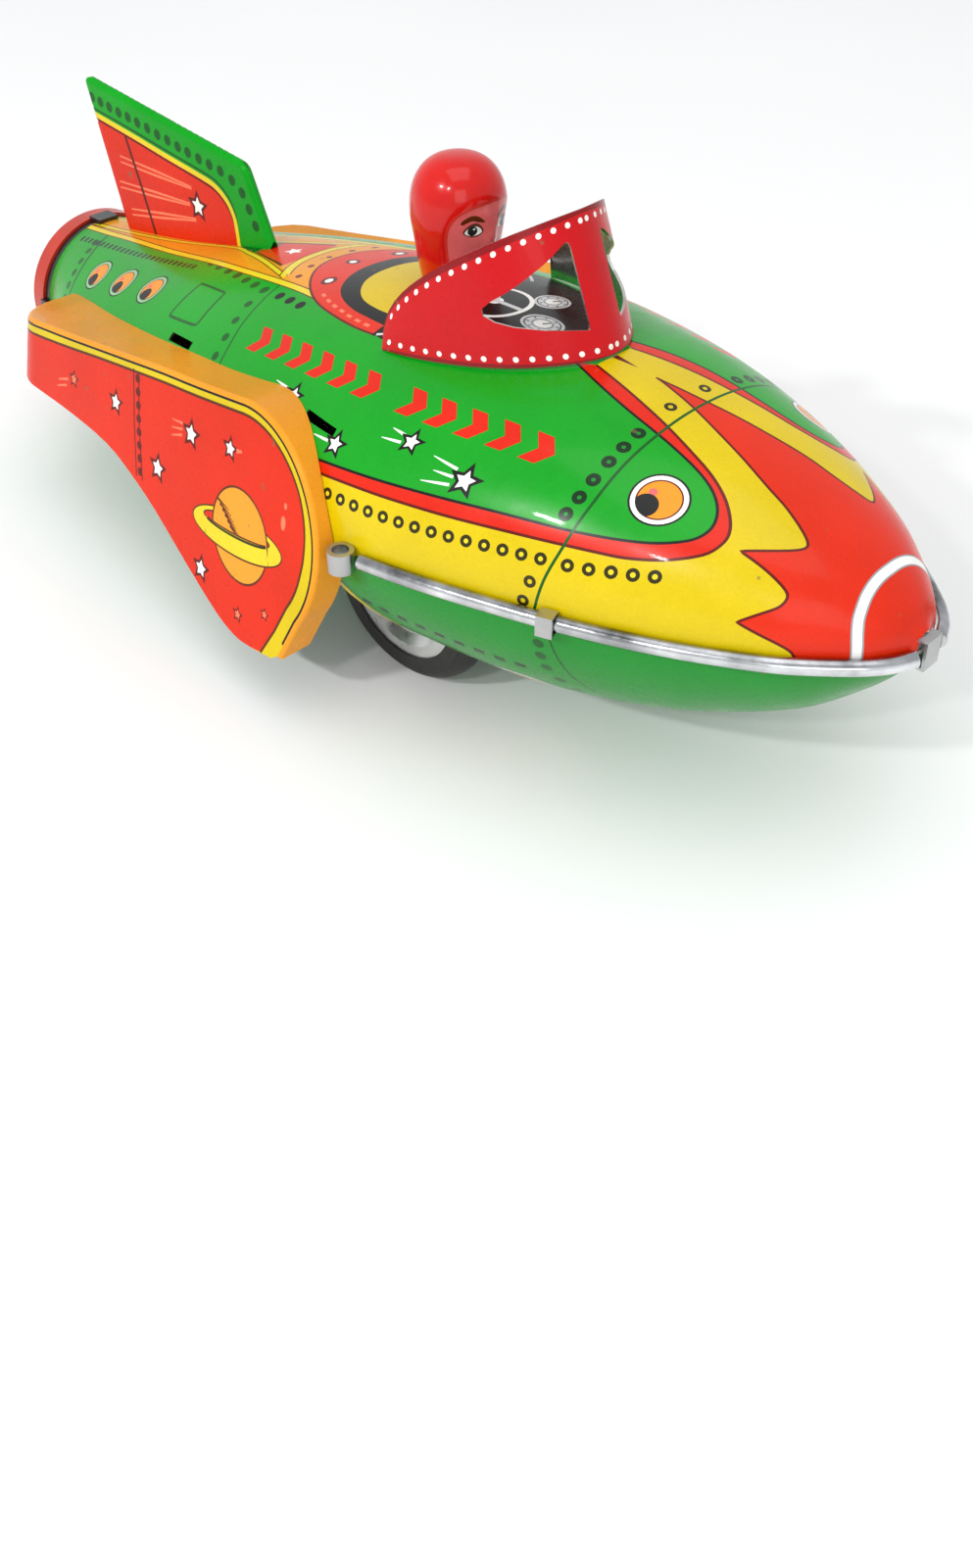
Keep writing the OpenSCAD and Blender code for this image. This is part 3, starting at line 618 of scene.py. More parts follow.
# second cross line with its dots, the hatch and the tail column
upper.line(curve([(-17.6, 74), (-16.9, 66), (-15.6, 53), (-14.4, 43), (-13.6, 32)], 5), 0.34, "moss")
upper.dots(((-18.6, 60), (-17.7, 52.6), (-16.7, 45.6), (-16, 38)), 0.78, "moss")
HATCH = curve([(-34.4, 61.6), (-34, 62.2), (-33.2, 62.4), (-27, 61.6), (-26.4, 61), (-26.2, 60.2),
               (-25.6, 46.6), (-26, 45.6), (-26.8, 45), (-33.2, 44.6), (-34, 45), (-34.4, 46)],
              2, closed=True)
upper.loop(HATCH, 0.5, "moss")
upper.line(curve([(-77.5, 80), (-75, 62), (-73.6, 50), (-72.6, 38), (-71.6, 20)], 5), 0.6, "moss")
upper.dots(((-77, 66), (-76.4, 59), (-75.7, 50.5), (-75, 42), (-74.4, 33), (-74, 24)), 0.8, "moss")
for k in range(27):
    x = -82.5 + 1.56 * k
    upper.dash(deck(x, -6.5 - 0.083 * (x + 82.5)), 0.85, 1.3, "forest")
for k in range(7):
    x = -38.8 + 3.3 * k
    upper.disc((x, 74 - 0.34 * (x + 38.8)), 0.92, "moss", n=12)
upper.dots(((-14.4, 66.8), (-11.4, 66.3), (-8.4, 65.8)), 0.92, "black")

# spine behind the cockpit
EDGE = [(-85.5, -3.2), (-80, -3.6), (-70, -4.2), (-60, -5.2), (-50, -6.4), (-40, -7.6),
        (-30, -8.9), (-20, -10), (-12, -10.9), (-5, -12)]
SPINE = deck_curve(EDGE)
upper.add(join(SPINE, [(-5, 90), (TAIL_X, 90)]), "amber")
upper.line(SPINE, 1.55, "brown")
upper.line(SPINE, 1.1, "lemon")
INNER = deck_curve([(-85, -1.9), (-60, -1.9), (-42, -1.7), (-36, -3.1), (-30, -4.8), (-24, -6.9),
                    (-19, -8.7)])
upper.line(INNER, 1.15, "brown")
upper.line(INNER, 0.75, "lemon")
WEDGE = [(-33.8, -2.6), (-23.2, -5.4), (-22.6, 0), (-23.2, 5.4), (-33.8, 2.6), (-33.4, 0)]
# dark moss patch either side of the fin's front foot: partly print, partly painted shadow of the fin on
# the deck
mid.add(on_deck([(-41, -0.9), (-34.4, -2.9), (-34.4, 2.9), (-41, 0.9)]), "moss")
mid.add([deck(x * 1.012 - 0.1, y * 1.1) for x, y in WEDGE], "maroon")
mid.add(on_deck(WEDGE), "scarlet")
mid.star(deck(-27.6, 0), 1.9, "white", 0.5, turn=0)
CRESCENT = deck_curve([(-19.6, -8.2), (-21, -5.8), (-21.9, -3), (-22.1, 0), (-21.9, 3), (-21, 5.8),
                       (-19.6, 8.2)])
mid.line(CRESCENT, 2.1, "brown")
mid.line(CRESCENT, 1.55, "lemon")
for x, y in ((-16.6, -7.8), (-18, -4.2), (-18.6, 0), (-18, 4.2), (-16.6, 7.8)):
    mid.ring(deck(x, y), 0.95, 0.6, "orange", "brown")

# cockpit
SHOE = [(9, -15.2), (5, -15.1), (0, -14.4), (-5, -13.2), (-9, -11.4), (-12.5, -8.9),
        (-15.2, -6), (-16.8, -3), (-17.3, 0)]
TUB = [(9, -13), (5, -12.6), (1, -12), (-3, -10.5), (-6, -8.2), (-8, -5), (-8.8, -2), (-8.9, 0)]
shoe_out = deck_curve(SHOE)
mid.add(join(shoe_out, MIRROR_TOP(shoe_out)[::-1]), "scarlet")
upper.line(shoe_out, 0.4, "maroon")
mid.add(on_deck([(9.0, -15.4), (9.6, -15.4), (9.6, 15.4), (9.0, 15.4)]), "black")
front = deck_curve([(9, -15.2), (14, -15.6), (20, -14.8), (26, -12.6), (31, -9.4), (35, -5), (36.6, 0)])
pit = join(deck_curve(TUB)[::-1], front)
mid.add(join(pit, MIRROR_TOP(pit)[::-1]), "black")
SEAT = [(8.8, -10.5), (5, -10.4), (1, -9.6), (-2, -7.8), (-4.2, -5), (-5.1, -2), (-5.2, 0)]
seat = deck_curve(SEAT)
mid.add(join(seat, MIRROR_TOP(seat)[::-1]), "yellow")
for x, y in ((-12.8, 0), (-10, -7.2), (-10, 7.2)):
    mid.ring(deck(x, y), 1.35, 0.7, "maroon", "white", n=20)
for k, (x, y) in enumerate(((-6.8, -10.9), (-4.6, -11.8), (-2.4, -12.5), (-0.2, -13), (2, -13.5),
                            (4.2, -13.8), (6.4, -14))):
    upper.dash(deck(x, y), 1.15, 0.55, "rose", turn=-22 + 3.5 * k)
for c, r in ((deck(27.4, 0), 3.5), (deck(23, -6.8), 2.7), (deck(23, 6.8), 2.7)):
    c, s = np.array(c), upper.scale(c)
    mid.disc(c, r, "silver", n=32)
    mid.band(c, r * 0.86, r * 0.78, "skyline", n=18)
    mid.disc(c, r * 0.52, "grey", n=24)
    mid.disc(c, r * 0.40, "white", n=24)
    for k in range(8):
        d = ray(45 * k + 20) * r
        mid.line([c + d * 0.6 / s, c + d * 0.74 / s], 0.3, "skyline")
    mid.line([c, c + np.array([0.2, 0.34]) * r / s], 0.34, "black")
wheel = np.array(deck(17.2, 1.2))
mid.band(wheel, 5.7, 4.95, "white", n=26)
mid.disc(wheel, 1.1, "white", n=16)
for t in (0, 125, 235):
    mid.line([wheel, wheel + ray(t) / upper.scale(wheel) * 5.1], 0.8, "silver")
for sign in (-1, 1):
    mid.line(deck_curve([(9.6, sign * 15), (12, sign * 13.6), (14.6, sign * 11.4)]), 0.5, "silver")
LEVER = [(9.3, -10.6), (9.4, -6.6), (12, -5), (14.6, -5.2), (16.2, -7.4), (14.6, -9.2), (12.4, -10.8)]
mid.add(deck_curve(LEVER, closed=True), "silver")
for y in (-6.6, -8, -9.4):
    mid.line(on_deck([(10.2, y), (14.4, y + 0.8)]), 0.32, "grey")

# slots for the pods' tabs: middle, height, and how far the front end drops below and above
SLOT_HALF = 3.4
for x, a, h, low, high in ((-26.8, 37.4, 3.0, 0.4, 0), (13, 35.3, 2.4, 1.6, 1.4)):
    upper.add([(x - SLOT_HALF, a - h / 2 - 0.4), (x + SLOT_HALF, a - h / 2 - low),
               (x + SLOT_HALF, a + h / 2 - high), (x - SLOT_HALF, a + h / 2 + 0.3)], None)
upper_piece = Solid().sheet(upper, step=1.7).make("upper_shell_pressing", [PRINT, BARE])

# ---- lower shell
MIRROR_LOW = lambda p: p * (1, -1) + (0, -180)
lower = Sheet(hull, [(TAIL_X, -180), (NOSE_X, -180), (NOSE_X, -0.001), (TAIL_X, -0.001)], "leaf",
              (1, 0.5), MIRROR_LOW)
# wheel well: flat top with 8 points, front edge, and the inner edge underneath
WELL_Y, WELL_Z, TOP_POINTS = 15.1, 25, 8
WELL_FRONT = [(17, WELL_Z), (19.5, 21.8), (22.5, 18), (25, 16.2), (27.8, 14.6), (32, 14.1), (36, 13.8)]
well_edge = [side_at(x, z) for x, z in
             [(1 + 2 * k, WELL_Z) for k in range(TOP_POINTS)] + WELL_FRONT]
well_floor = [under_at(x, WELL_Y) for x in np.arange(36, 0, -2.5)] + [under_at(1, WELL_Y)]
arch = curve(well_edge[TOP_POINTS - 1:], 3)
lower.line(arch + (0.5, 0.6), 3.0, "moss")
lower.line(arch + (0.6, 1.0), 1.7, "lemon")
for k in range(9):
    lower.dash((24.4 + 2.95 * k, -21.6 - 0.27 * (2.95 * k)), 1.6, 1.15, "forest", turn=-8)
lower.line(curve([(54, -8), (54.6, -18), (55.4, -28), (57, -40), (59, -55)], 4), 0.34, "moss")
lower.dots(((52.4, -12.5), (52.2, -18.5), (52.2, -25), (52.8, -33), (53.8, -41)), 0.85, "moss")
for r, ink, n in ((5.7, "moss", 36), (5.5, "silver", 36), (4.3, "black", 32), (4.1, "orange", 32)):
    lower.disc((44.5, -49), r, ink, n=n)
lower.disc((43.4, -53.5), 2.4, "black", n=28)
REAR_ARCH = curve([(-31, -25), (-33.5, -32), (-37, -40), (-39.6, -50), (-41, -64)], 4)
lower.line(REAR_ARCH, 1.5, "moss")
lower.line(REAR_ARCH, 0.9, "lemon")
lower.line(curve([(-77.5, -4), (-75.4, -22), (-74.6, -40), (-74.6, -60)], 4), 0.5, "moss")
lower.dots([(-77 - a * 0.02, a) for a in (-10, -20, -30, -40, -50)], 0.8, "moss")
lower.add(well_edge + well_floor, None)
# opening for the rear wheel, then slots for the motor's tabs
REAR_X, REAR_HALF, REAR_Y = -44.6, 8.5, 5.2
rear_slot = [under_at(x, REAR_Y) for x in np.linspace(REAR_X - REAR_HALF, REAR_X + REAR_HALF, 7)]
rear_slot += [(p[0], -180 - p[1]) for p in rear_slot[::-1]]
lower.single().add(rear_slot, None)
TAB_HALF, TAB_OUT, TAB_IN = 2.2, 8, 6.8
for x in (-8, 26):
    lower.add([under_at(x + dx, y) for dx, y in ((-TAB_HALF, TAB_OUT), (TAB_HALF, TAB_OUT),
                                                 (TAB_HALF, TAB_IN), (-TAB_HALF, TAB_IN))], None)
lower_piece = Solid().sheet(lower, step=1.9).make("lower_shell_pressing", [PRINT, BARE])

# ---- pods
POD = (-42, -0.084, 0.21)  # face plane: y = POD[0] + POD[1] * x + POD[2] * z
CORNER_X, CORNER_R = -61.4, 11
along = np.array([1, POD[1]]) / math.hypot(1, POD[1])
inward = np.array([-POD[1], 1]) / math.hypot(1, POD[1])
corner = np.array([CORNER_X, POD[0] + POD[1] * CORNER_X]) + CORNER_R * inward


def pod_face(u, z):
    """Outer face of the right pod; u is x, then the way round its rear corner."""
    u, z = np.asarray(u, float), np.asarray(z, float)
    t = np.clip((CORNER_X - u) / CORNER_R, 0, 1.7)
    x = np.where(u >= CORNER_X, u, corner[0] - CORNER_R * (inward[0] * np.cos(t) + along[0] * np.sin(t)))
    y = np.where(u >= CORNER_X, POD[0] + POD[1] * u,
                 corner[1] - CORNER_R * (inward[1] * np.cos(t) + along[1] * np.sin(t)))
    return np.stack([x, y + POD[2] * z, z], -1)


POD_END = -77.6
ROUND_C, ROUND_R = np.array([4.2, 27.4]), 17.45
round_front = [ROUND_C + ROUND_R * ray(t) for t in np.linspace(98, -33, 28)]
# top edge: chart points from the rear corner to the lower tip
top_rear = [(POD_END, 31.9), (-72, 32.6), (-61.4, 34.3), (-50, 36.1), (-40, 37.8), (-30, 39.5),
            (-20, 41.2), (-10, 42.7)]
POD_TIP = [(18.1, 16.3), (17.4, 14.8), (16.7, 13.3), (16.1, 12), (15.6, 11)]
POD_TOP = join(curve(top_rear + [tuple(round_front[0])], 3)[:-1], round_front, POD_TIP)
BELLY = curve([(14.8, 10.5), (10.4, 9.6), (7, 9.1), (4, 9.0), (-1, 10.1), (-10, 13.8), (-20, 18.3),
               (-28, 21.1), (-36, 22.9), (-48, 23.3), (-62, 22.9), (POD_END, 22.7)], 3)[1:]


def inset(points, d):
    """Open chart line moved to its right by d, one value or one for each point."""
    t = np.gradient(points, axis=0)
    t /= np.linalg.norm(t, axis=1)[:, None]
    return points + np.stack([t[:, 1], -t[:, 0]], 1) * np.reshape(d, (-1, 1))


FILLET = 0.7
edge_line = inset(POD_TOP, FILLET)
pod = Sheet(pod_face, join(edge_line, BELLY), "yellow", (1, 1))
red_top = inset(POD_TOP, np.interp(POD_TOP[:, 1], [10, 25, 30, 34, 38, 60],
                                   [3.3, 3.2, 2.8, 2.4, 2.1, 2.2]))
RED_END = POD_END + 3.4
red_edge = curve([(RED_END, 29.6), (-70, 30.6), (-61.4, 32)], 3)
red_line = join(red_edge[:-1], red_top[red_top[:, 0] > -59.5][:-2], [(10.9, 9.8)])
pod.add(join(red_line, BELLY[4:-2], [(RED_END, 22.8)]), "scarlet")
pod.line(join([(RED_END, 22.8)], red_line), 0.45, "brown")
pod.line(inset(POD_TOP, FILLET + 0.16)[1:-2], 0.42, "black")
for a, b in ((-28.4, -26.2), (-26.9, -24.4)):
    pod.line([(a, 38.0), (a + 0.9, 30), (b + 0.2, 21.4)], 0.32, "maroon")
for k in range(8):
    pod.disc((-27.1 + 0.3 * k, 36.9 - 2.05 * k), 0.72, "maroon", n=12)


def sparkle(c, r, ink="white"):
    pod.star(c, r * 1.8, "maroon", 0.48)
    pod.star(c, r, ink, 0.55)


sparkle((-47.2, 29.3), 0.95, "rose")
pod.line([(-49.2, 28.6), (-52.5, 27.4)], [0.5, 0.2], "rose")
pod.line([(-49.6, 27.4), (-52.8, 26.2)], [0.4, 0.2], "rose")
sparkle((-33.4, 30.7), 1.35)
sparkle((-19.9, 25.3), 1.5)
sparkle((-11.2, 34.3), 1.5)
for dz in (-0.4, 0.5, 1.4):
    pod.line([(-13.6, 33.6 + dz), (-16.6, 32.6 + dz * 1.4)], [0.45, 0.15], "rose")
sparkle((-0.8, 36.3), 1.2)
pod.line([(0.8, 36.6), (2.2, 37)], [0.7, 0.3], "rose")
sparkle((-6.1, 15), 1.4)
sparkle((4.4, 12.6), 0.8, "rose")
sparkle((11, 15.9), 0.65, "rose")
pod.disc((13.4, 31.2), 0.55, "rose", ry=1.1, n=16)
pod.disc((13.6, 33.8), 0.35, "rose", ry=0.5, n=12)
# ringed planet
PLANET, PLANET_R = np.array((3.2, 24.6)), 7.0
RING_C, RING_TILT, RING_A, RING_B = np.array((2.3, 24.3)), math.radians(8.4), 11.5, 3.05
HOLE_A, HOLE_B, HOLE_UP = 8.4, 1.1, 1.0


def on_ring(t, a, b, up=0):
    """Points round an ellipse that lies along the planet's ring, t in degrees."""
    x, y = a * np.cos(np.radians(t)), up + b * np.sin(np.radians(t))
    c, d = math.cos(RING_TILT), math.sin(RING_TILT)
    return RING_C + np.stack([x * c - y * d, x * d + y * c], 1)


def front_of_ring(grow):
    low = on_ring(np.linspace(-136, -44, 16), RING_A + grow, RING_B + grow)
    high = on_ring(np.linspace(-20, -160, 16), HOLE_A - grow, HOLE_B - grow, HOLE_UP)
    return join(low, high)


full = np.arange(0, 360, 10)
for a, b, up, ink in ((RING_A + 0.3, RING_B + 0.3, 0, "brown"), (RING_A, RING_B, 0, "lemon"),
                      (HOLE_A + 0.35, HOLE_B + 0.35, HOLE_UP, "brown"),
                      (HOLE_A, HOLE_B, HOLE_UP, "scarlet")):
    pod.add(on_ring(full, a, b, up), ink)
pod.disc(PLANET, PLANET_R + 0.35, "brown", n=40)
pod.disc(PLANET, PLANET_R, "apricot", n=40)
for k in range(6):
    a = PLANET + (-6.3 + 0.75 * k, 3.2 - 0.55 * k)
    pod.line([a, a + (3.2, -0.6 - 0.1 * k)], [0.5, 0.12], "brown")
pod.add(front_of_ring(0.3), "brown")
pod.add(front_of_ring(0), "lemon")
pod.line(on_ring(np.linspace(-158, -22, 18), HOLE_A, HOLE_B + 0.15, HOLE_UP - 0.1), 0.4, "olive")

pod_solid = Solid().sheet(pod, step=1.9)


def hull_y(x, z):
    """How far out the hull's right side reaches at x, z."""
    up = z >= seam(x)
    h = np.where(up, form(2, x) - seam(x), seam(x) - form(3, x))
    n = roundness(x, up)
    s = np.clip(np.abs(z - seam(x)) / h, 0, 1)
    return form(1, x) * (1 - s**n) ** (1 / n)


# turned-in rim: gap to the hull, least and most depth; below FRONT_Z its depth narrows
RIM_GAP, RIM_MIN, RIM_MAX = 0.15, 0.6, 10.5
FRONT_Z, FRONT_DEPTH, FRONT_TAPER = 27, 4.5, 0.02


def add_rim(solid):
    """Turned-in rim along the top and front of the pod, with its rounded edge."""
    p, q = POD_TOP, edge_line
    face_n = normals_of(pod_face, q)
    base = pod_face(q[:, 0], q[:, 1])
    side = pod_face(p[:, 0], p[:, 1]) - base
    side /= np.linalg.norm(side, axis=1)[:, None]
    rows, norms = [], []
    for a in np.radians((0, 22.5, 45, 67.5, 90)):
        n = face_n * math.cos(a) + side * math.sin(a)
        rows.append(base - face_n * FILLET + n * FILLET)
        norms.append(n)
    start = rows[-1]
    x, z = start[:, 0], start[:, 2]
    reach = np.clip(-hull_y(x, z) - start[:, 1] - RIM_GAP, RIM_MIN, RIM_MAX)
    narrow = FRONT_DEPTH + FRONT_TAPER * (FRONT_Z - z)
    reach = np.where(z < FRONT_Z, np.minimum(reach, narrow), reach)
    for f in (0.34, 0.67, 1.0):
        row = start.copy()
        row[:, 1] += reach * f
        rows.append(row)
        norms.append(side)
    m, n_rows = len(p), len(rows)
    grid, gn = np.array(rows), np.array(norms)
    faces = [((r + 1) * m + i, r * m + i, r * m + i + 1, (r + 1) * m + i + 1)
             for r in range(n_rows - 1) for i in range(m - 1)]
    flat, gn = grid.reshape(-1, 3), gn.reshape(-1, 3)
    solid.part(flat, faces, gn, "apricot", 0)
    back = flat - gn * TIN
    solid.part(back, [f[::-1] for f in faces], -gn, "silver", 1)
    edge = [((n_rows - 1) * m + i, (n_rows - 1) * m + i + 1) for i in range(m - 1)]
    edge += [(r * m + m - 1, (r + 1) * m + m - 1) for r in range(n_rows - 1)]
    edge += [((r + 1) * m, r * m) for r in range(n_rows - 1)]
    both = join(flat, back)
    k = len(flat)
    solid.part(both, [(a, b, b + k, a + k) for a, b in edge], None, "silver", 1)


add_rim(pod_solid)
pod_right = pod_solid.make("pod_right_pressing", [POD_PRINT, BARE])
pod_left = pod_solid.make("pod_left_pressing", [POD_PRINT, BARE], mirror=True)

# ---- fin
FIN = np.array([(-84, 64.6), (-38.3, 59.8), (-32.6, 47.6), (-34, 44), (-74, 33), (-75.6, 37)])
FIN_ROUND, FIN_EDGE, FIN_HALF = 1.3, 1.0, 0.9


def fin_depth(x, z):
    """Distance inside the fin's top, front and rear edges, with rounded corners."""
    corners, r = np.roll(FIN, 1, 0)[:4], FIN_ROUND
    lines = []
    for a, b in zip(corners[:-1], corners[1:]):
        t = (b - a) / np.linalg.norm(b - a)
        n = np.array([t[1], -t[0]])
        lines.append((x - a[0]) * n[0] + (z - a[1]) * n[1])
    rear, top, front = lines
    first, second = (np.where((end < r) & (top < r), r - np.hypot(r - end, r - top),
                              np.minimum(end, top)) for end in (rear, front))
    return np.minimum(first, second)


def fin_side(x, z):
    x, z = np.asarray(x, float), np.asarray(z, float)
    d = np.clip(fin_depth(x, z) / FIN_EDGE, 0, 1)
    return np.stack([x, -FIN_HALF * np.sqrt(np.maximum(0, 1 - (1 - d) ** 2)), z], -1)


def rounded(poly, r, n=6):
    out = []
    for a, b, c in zip(np.roll(poly, 1, 0), poly, np.roll(poly, -1, 0)):
        u, v = (a - b) / np.linalg.norm(a - b), (c - b) / np.linalg.norm(c - b)
        half = math.acos(float(np.clip(u @ v, -1, 1))) / 2
        reach = r / math.tan(half)
        centre = b + (u + v) / np.linalg.norm(u + v) * r / math.sin(half)
        p, q = b + u * reach, b + v * reach
        for t in np.linspace(0, 1, n):
            d = (p - centre) * (1 - t) + (q - centre) * t
            out.append(centre + d / np.linalg.norm(d) * r)
    return np.array(out)


fin = Sheet(fin_side, rounded(FIN, FIN_ROUND - 0.02), "green", (1, 1))
edge = fin.shapes[0][0]
edge = np.concatenate([
    a + (b - a) * np.linspace(0, 1, max(2, int(np.linalg.norm(b - a) / 0.8)), False)[:, None]
    for a, b in zip(edge, np.roll(edge, -1, 0))])
slant = np.stack([fin_depth(*(edge + d).T) - fin_depth(*(edge - d).T)
                  for d in ((0.01, 0), (0, 0.01))], 1)
slant /= np.maximum(np.linalg.norm(slant, axis=1), 1e-9)[:, None]
fin.guides = [p for d in (0.15, 0.45, 0.98) for p in edge + slant * d]
panel = curve([(-83.5, 58.3), (-70, 56.9), (-60, 55.7), (-50, 54.6), (-46.4, 53.9), (-43.6, 52.2),
               (-42, 49.8), (-41.5, 47), (-41.2, 43)], 5)
fin.line(panel + (0.3, 1.0), 0.45, "moss")
fin.add(join(panel, [(-60, 34), (-76, 32)]), "scarlet")
fin.line(panel + (-0.25, -0.75), 0.4, "maroon")
fin.line(panel, 0.95, "lemon")
fin.dots(((-84.2, 61.8), (-81.6, 61.1), (-79, 60.8), (-76.3, 60.5), (-73.5, 60.2), (-70.7, 60),
          (-67.9, 59.7), (-65, 59.4), (-62.1, 59), (-59.2, 58.7), (-56.3, 58.3), (-53.5, 58),
          (-50.5, 57.7), (-47.6, 57.4), (-44.6, 57.1), (-41.6, 56.3), (-39.1, 54.8),
          (-37.6, 52.4), (-36.2, 49.9)), 0.95, "moss", n=16)
for a, b in (((-75, 51.5), (-53.6, 51.8)), ((-76.2, 46.5), (-54.6, 48.6)), ((-73.5, 42), (-53.2, 46.2))):
    a, b = np.array(a), np.array(b)
    for d in (-0.42, 0.42):
        fin.line([a + (0, d * 1.3), (a + b) / 2 + (0, d), b + (0, d * 0.4)], [0.3, 0.45, 0.3], "rose")
fin.line([(-72.4, 56.4), (-69.6, 49), (-66.2, 39)], 0.75, "maroon")
fin.star((-52.2, 48.9), 3.0, "maroon", 0.5)
fin.star((-52.2, 48.9), 1.75, "white", 0.5)


def fin_piece():
    solid = Solid()
    chart, tris, inks = fin.triangles(1.6)
    out = fin_side(chart[:, 0], chart[:, 1])
    n = normals_of(fin_side, chart)
    deep = fin_depth(chart[:, 0], chart[:, 1]) < 0.03
    out[deep, 1] = 0
    solid.part(out, tris, n, inks, 0)
    flip = np.array([1, -1, 1])
    solid.part(out * flip, tris[:, ::-1], n * flip, inks, 0)
    return solid.make("tail_fin_pressing", [POD_PRINT, BARE])


fin_object = fin_piece()

# ---- windscreen
SCREEN_X, SCREEN_L, SCREEN_W, SCREEN_H = 13, 28, 17.3, 18.6
LEAN, SCREEN_ROUND = 7.2, 1.85


def deck_z(x, y):
    n = roundness(x, True)
    return seam(x) + (form(2, x) - seam(x)) * np.maximum(0, 1 - (np.abs(y) / form(1, x)) ** n) ** (1 / n)


def screen(a, v):
    """Outer side of the windscreen: a is 0 in front, v runs from foot to top edge."""
    a, v = np.asarray(a, float), np.asarray(v, float)
    n = 2 / SCREEN_ROUND
    c = np.abs(np.cos(np.radians(a))) ** n
    s = np.sign(a) * np.abs(np.sin(np.radians(a))) ** n
    x = SCREEN_X + (SCREEN_L - LEAN * v) * c
    y = (SCREEN_W - 0.6 * v) * s
    foot = deck_z(SCREEN_X + SCREEN_L * c, SCREEN_W * np.abs(s)) + 0.15
    rise = 1 + (SCREEN_H - 1) * np.sqrt(np.maximum(0, np.cos(np.radians(a))))
    return np.stack([x, y, foot + v * rise], -1)


MIRROR_FRONT = lambda p: p * (-1, 1)
glass = Sheet(screen, [(-89.2, 0.02), (89.2, 0.02), (89.2, 1), (-89.2, 1)], "crimson",
              (0.4, 12), MIRROR_FRONT)


def screen_row(v_edge, inset_mm, count, first, last):
    """Angles and levels of dots in a row along the foot or the top edge."""
    fine = np.linspace(first, last, 200)
    p = screen(fine, np.full(200, v_edge))
    run = run_along(p)
    angles = np.interp(np.linspace(0, run[-1], count), run, fine)
    for a in angles:
        s = glass.scale((a, v_edge * 0.9 + 0.05))
        yield (a, v_edge + (inset_mm / s[1] if v_edge < 0.5 else -inset_mm / s[1]))


for v, width in ((0.985, 0.5), (0.012, 0.45)):
    glass.single().line([(-89, v), (0, v), (89, v)], width, "wine")
glass.dots(screen_row(1.0, 1.4, 16, 2.6, 84), 0.40, "white")
glass.dots(screen_row(0.0, 1.5, 16, 2.6, 85.5), 0.40, "white")
glass.add([(12, 0.225), (20, 0.25), (30, 0.285), (40, 0.34), (46, 0.40), (49.5, 0.47), (49.5, 0.525),
           (46, 0.57), (38, 0.625), (30, 0.69), (23, 0.745), (15, 0.82), (13, 0.83), (11.8, 0.81),
           (11.4, 0.77), (11.3, 0.26), (11.5, 0.235)], None)
screen_piece = Solid().sheet(glass, step=1.5).make("windscreen_pressing", [PRINT, BARE])

# ---- driver's head
HEAD_X, HEAD_Y, SEAT_Z = 7.8, 3, 53.3
HEAD_PROFILE = curve([(5.4, 0), (5.7, 1.4), (6.15, 4), (6.55, 7), (6.95, 9.6), (7.05, 11.4),
                      (6.92, 13.2), (6.5, 14.9), (5.75, 16.4), (4.6, 17.7), (3.1, 18.55),
                      (1.55, 18.92), (0.02, 19)], 6)
profile_run = run_along(HEAD_PROFILE)
CROWN = profile_run[-1] - 0.05
FACE_Z, FACE_W, FACE_H = 7.5, 60, 6.2


def head(t, v):
    """Driver's head: t is the bearing, 0 ahead and -90 right, v runs up its profile."""
    t, v = np.asarray(t, float), np.asarray(v, float)
    r = np.interp(v, profile_run, HEAD_PROFILE[:, 0])
    z = np.interp(v, profile_run, HEAD_PROFILE[:, 1])
    nose = 0.6 * np.exp(-(t / 8.5) ** 2 - ((z - 7.8) / 1.7) ** 2)
    socket = -0.26 * np.exp(-((np.abs(t) - 24) / 11) ** 2 - ((z - 9.8) / 1.4) ** 2)
    rim = -0.3 / (1 + np.exp(((t / 60) ** 2 + ((z - FACE_Z) / FACE_H) ** 2 - 1) * 12))
    r, w = r + nose + socket + rim, np.radians(t)
    return np.stack([HEAD_X + r * np.cos(w), HEAD_Y + r * np.sin(w), SEAT_Z + z], -1)


doll = Sheet(head, [(-180, 0), (180, 0), (180, CROWN), (-180, CROWN)], "helmet", (0.12, 1),
             MIRROR_FRONT)
angles = np.radians(np.arange(0, 360, 9))
oval = np.stack([FACE_W * np.sign(np.cos(angles)) * np.abs(np.cos(angles)) ** 0.75,
                 FACE_H * np.sign(np.sin(angles)) * np.abs(np.sin(angles)) ** 0.75], 1)
# darker red band round the face's edge, left showing outside the pink: painted shade where the face
# turns away into the helmet
doll.single().add(oval * (1.03, 1.04) + (0, FACE_Z), "face_edge_shade")
doll.single().add(oval * 0.97 + (0, FACE_Z), "pink")
for ink, feature in (
        ("brown", [(10, 11.1), (18, 12.0), (28, 12.3), (40, 11.6), (40, 11.0), (28, 11.5), (18, 11.2)]),
        ("brown", [(12, 9.9), (19, 11.0), (29, 11.0), (39, 9.9), (30, 9.1), (18, 9.1)]),
        ("white", [(14, 9.8), (20, 10.55), (29, 10.55), (37, 9.8), (29, 9.25), (19, 9.3)])):
    doll.add(curve(feature, 4, closed=True), ink)
doll.disc((26.5, 9.95), 0.74, "black", n=18)
# small white dot in the pupil: a painted highlight
doll.disc((24.3, 10.2), 0.17, "white", n=10)
doll.add(curve([(0, 5.0), (9, 5.3), (17, 5.1), (10, 4.4), (0, 4.2)], 4), "crimson")
head_piece = Solid().sheet(doll, step=1.0, thick=0.02, bare=0).make("driver_head_moulding", [PLASTIC])

# ---- chrome strips
# section of a strip, how far out and how high: the lower half, then its mirror image
LOW = np.array([(0.25, -0.95), (0.55, -1.15), (1.0, -1.12), (1.4, -0.92), (1.7, -0.6), (1.86, -0.22)])
STRIP = join(LOW, LOW[::-1] * (1, -1))


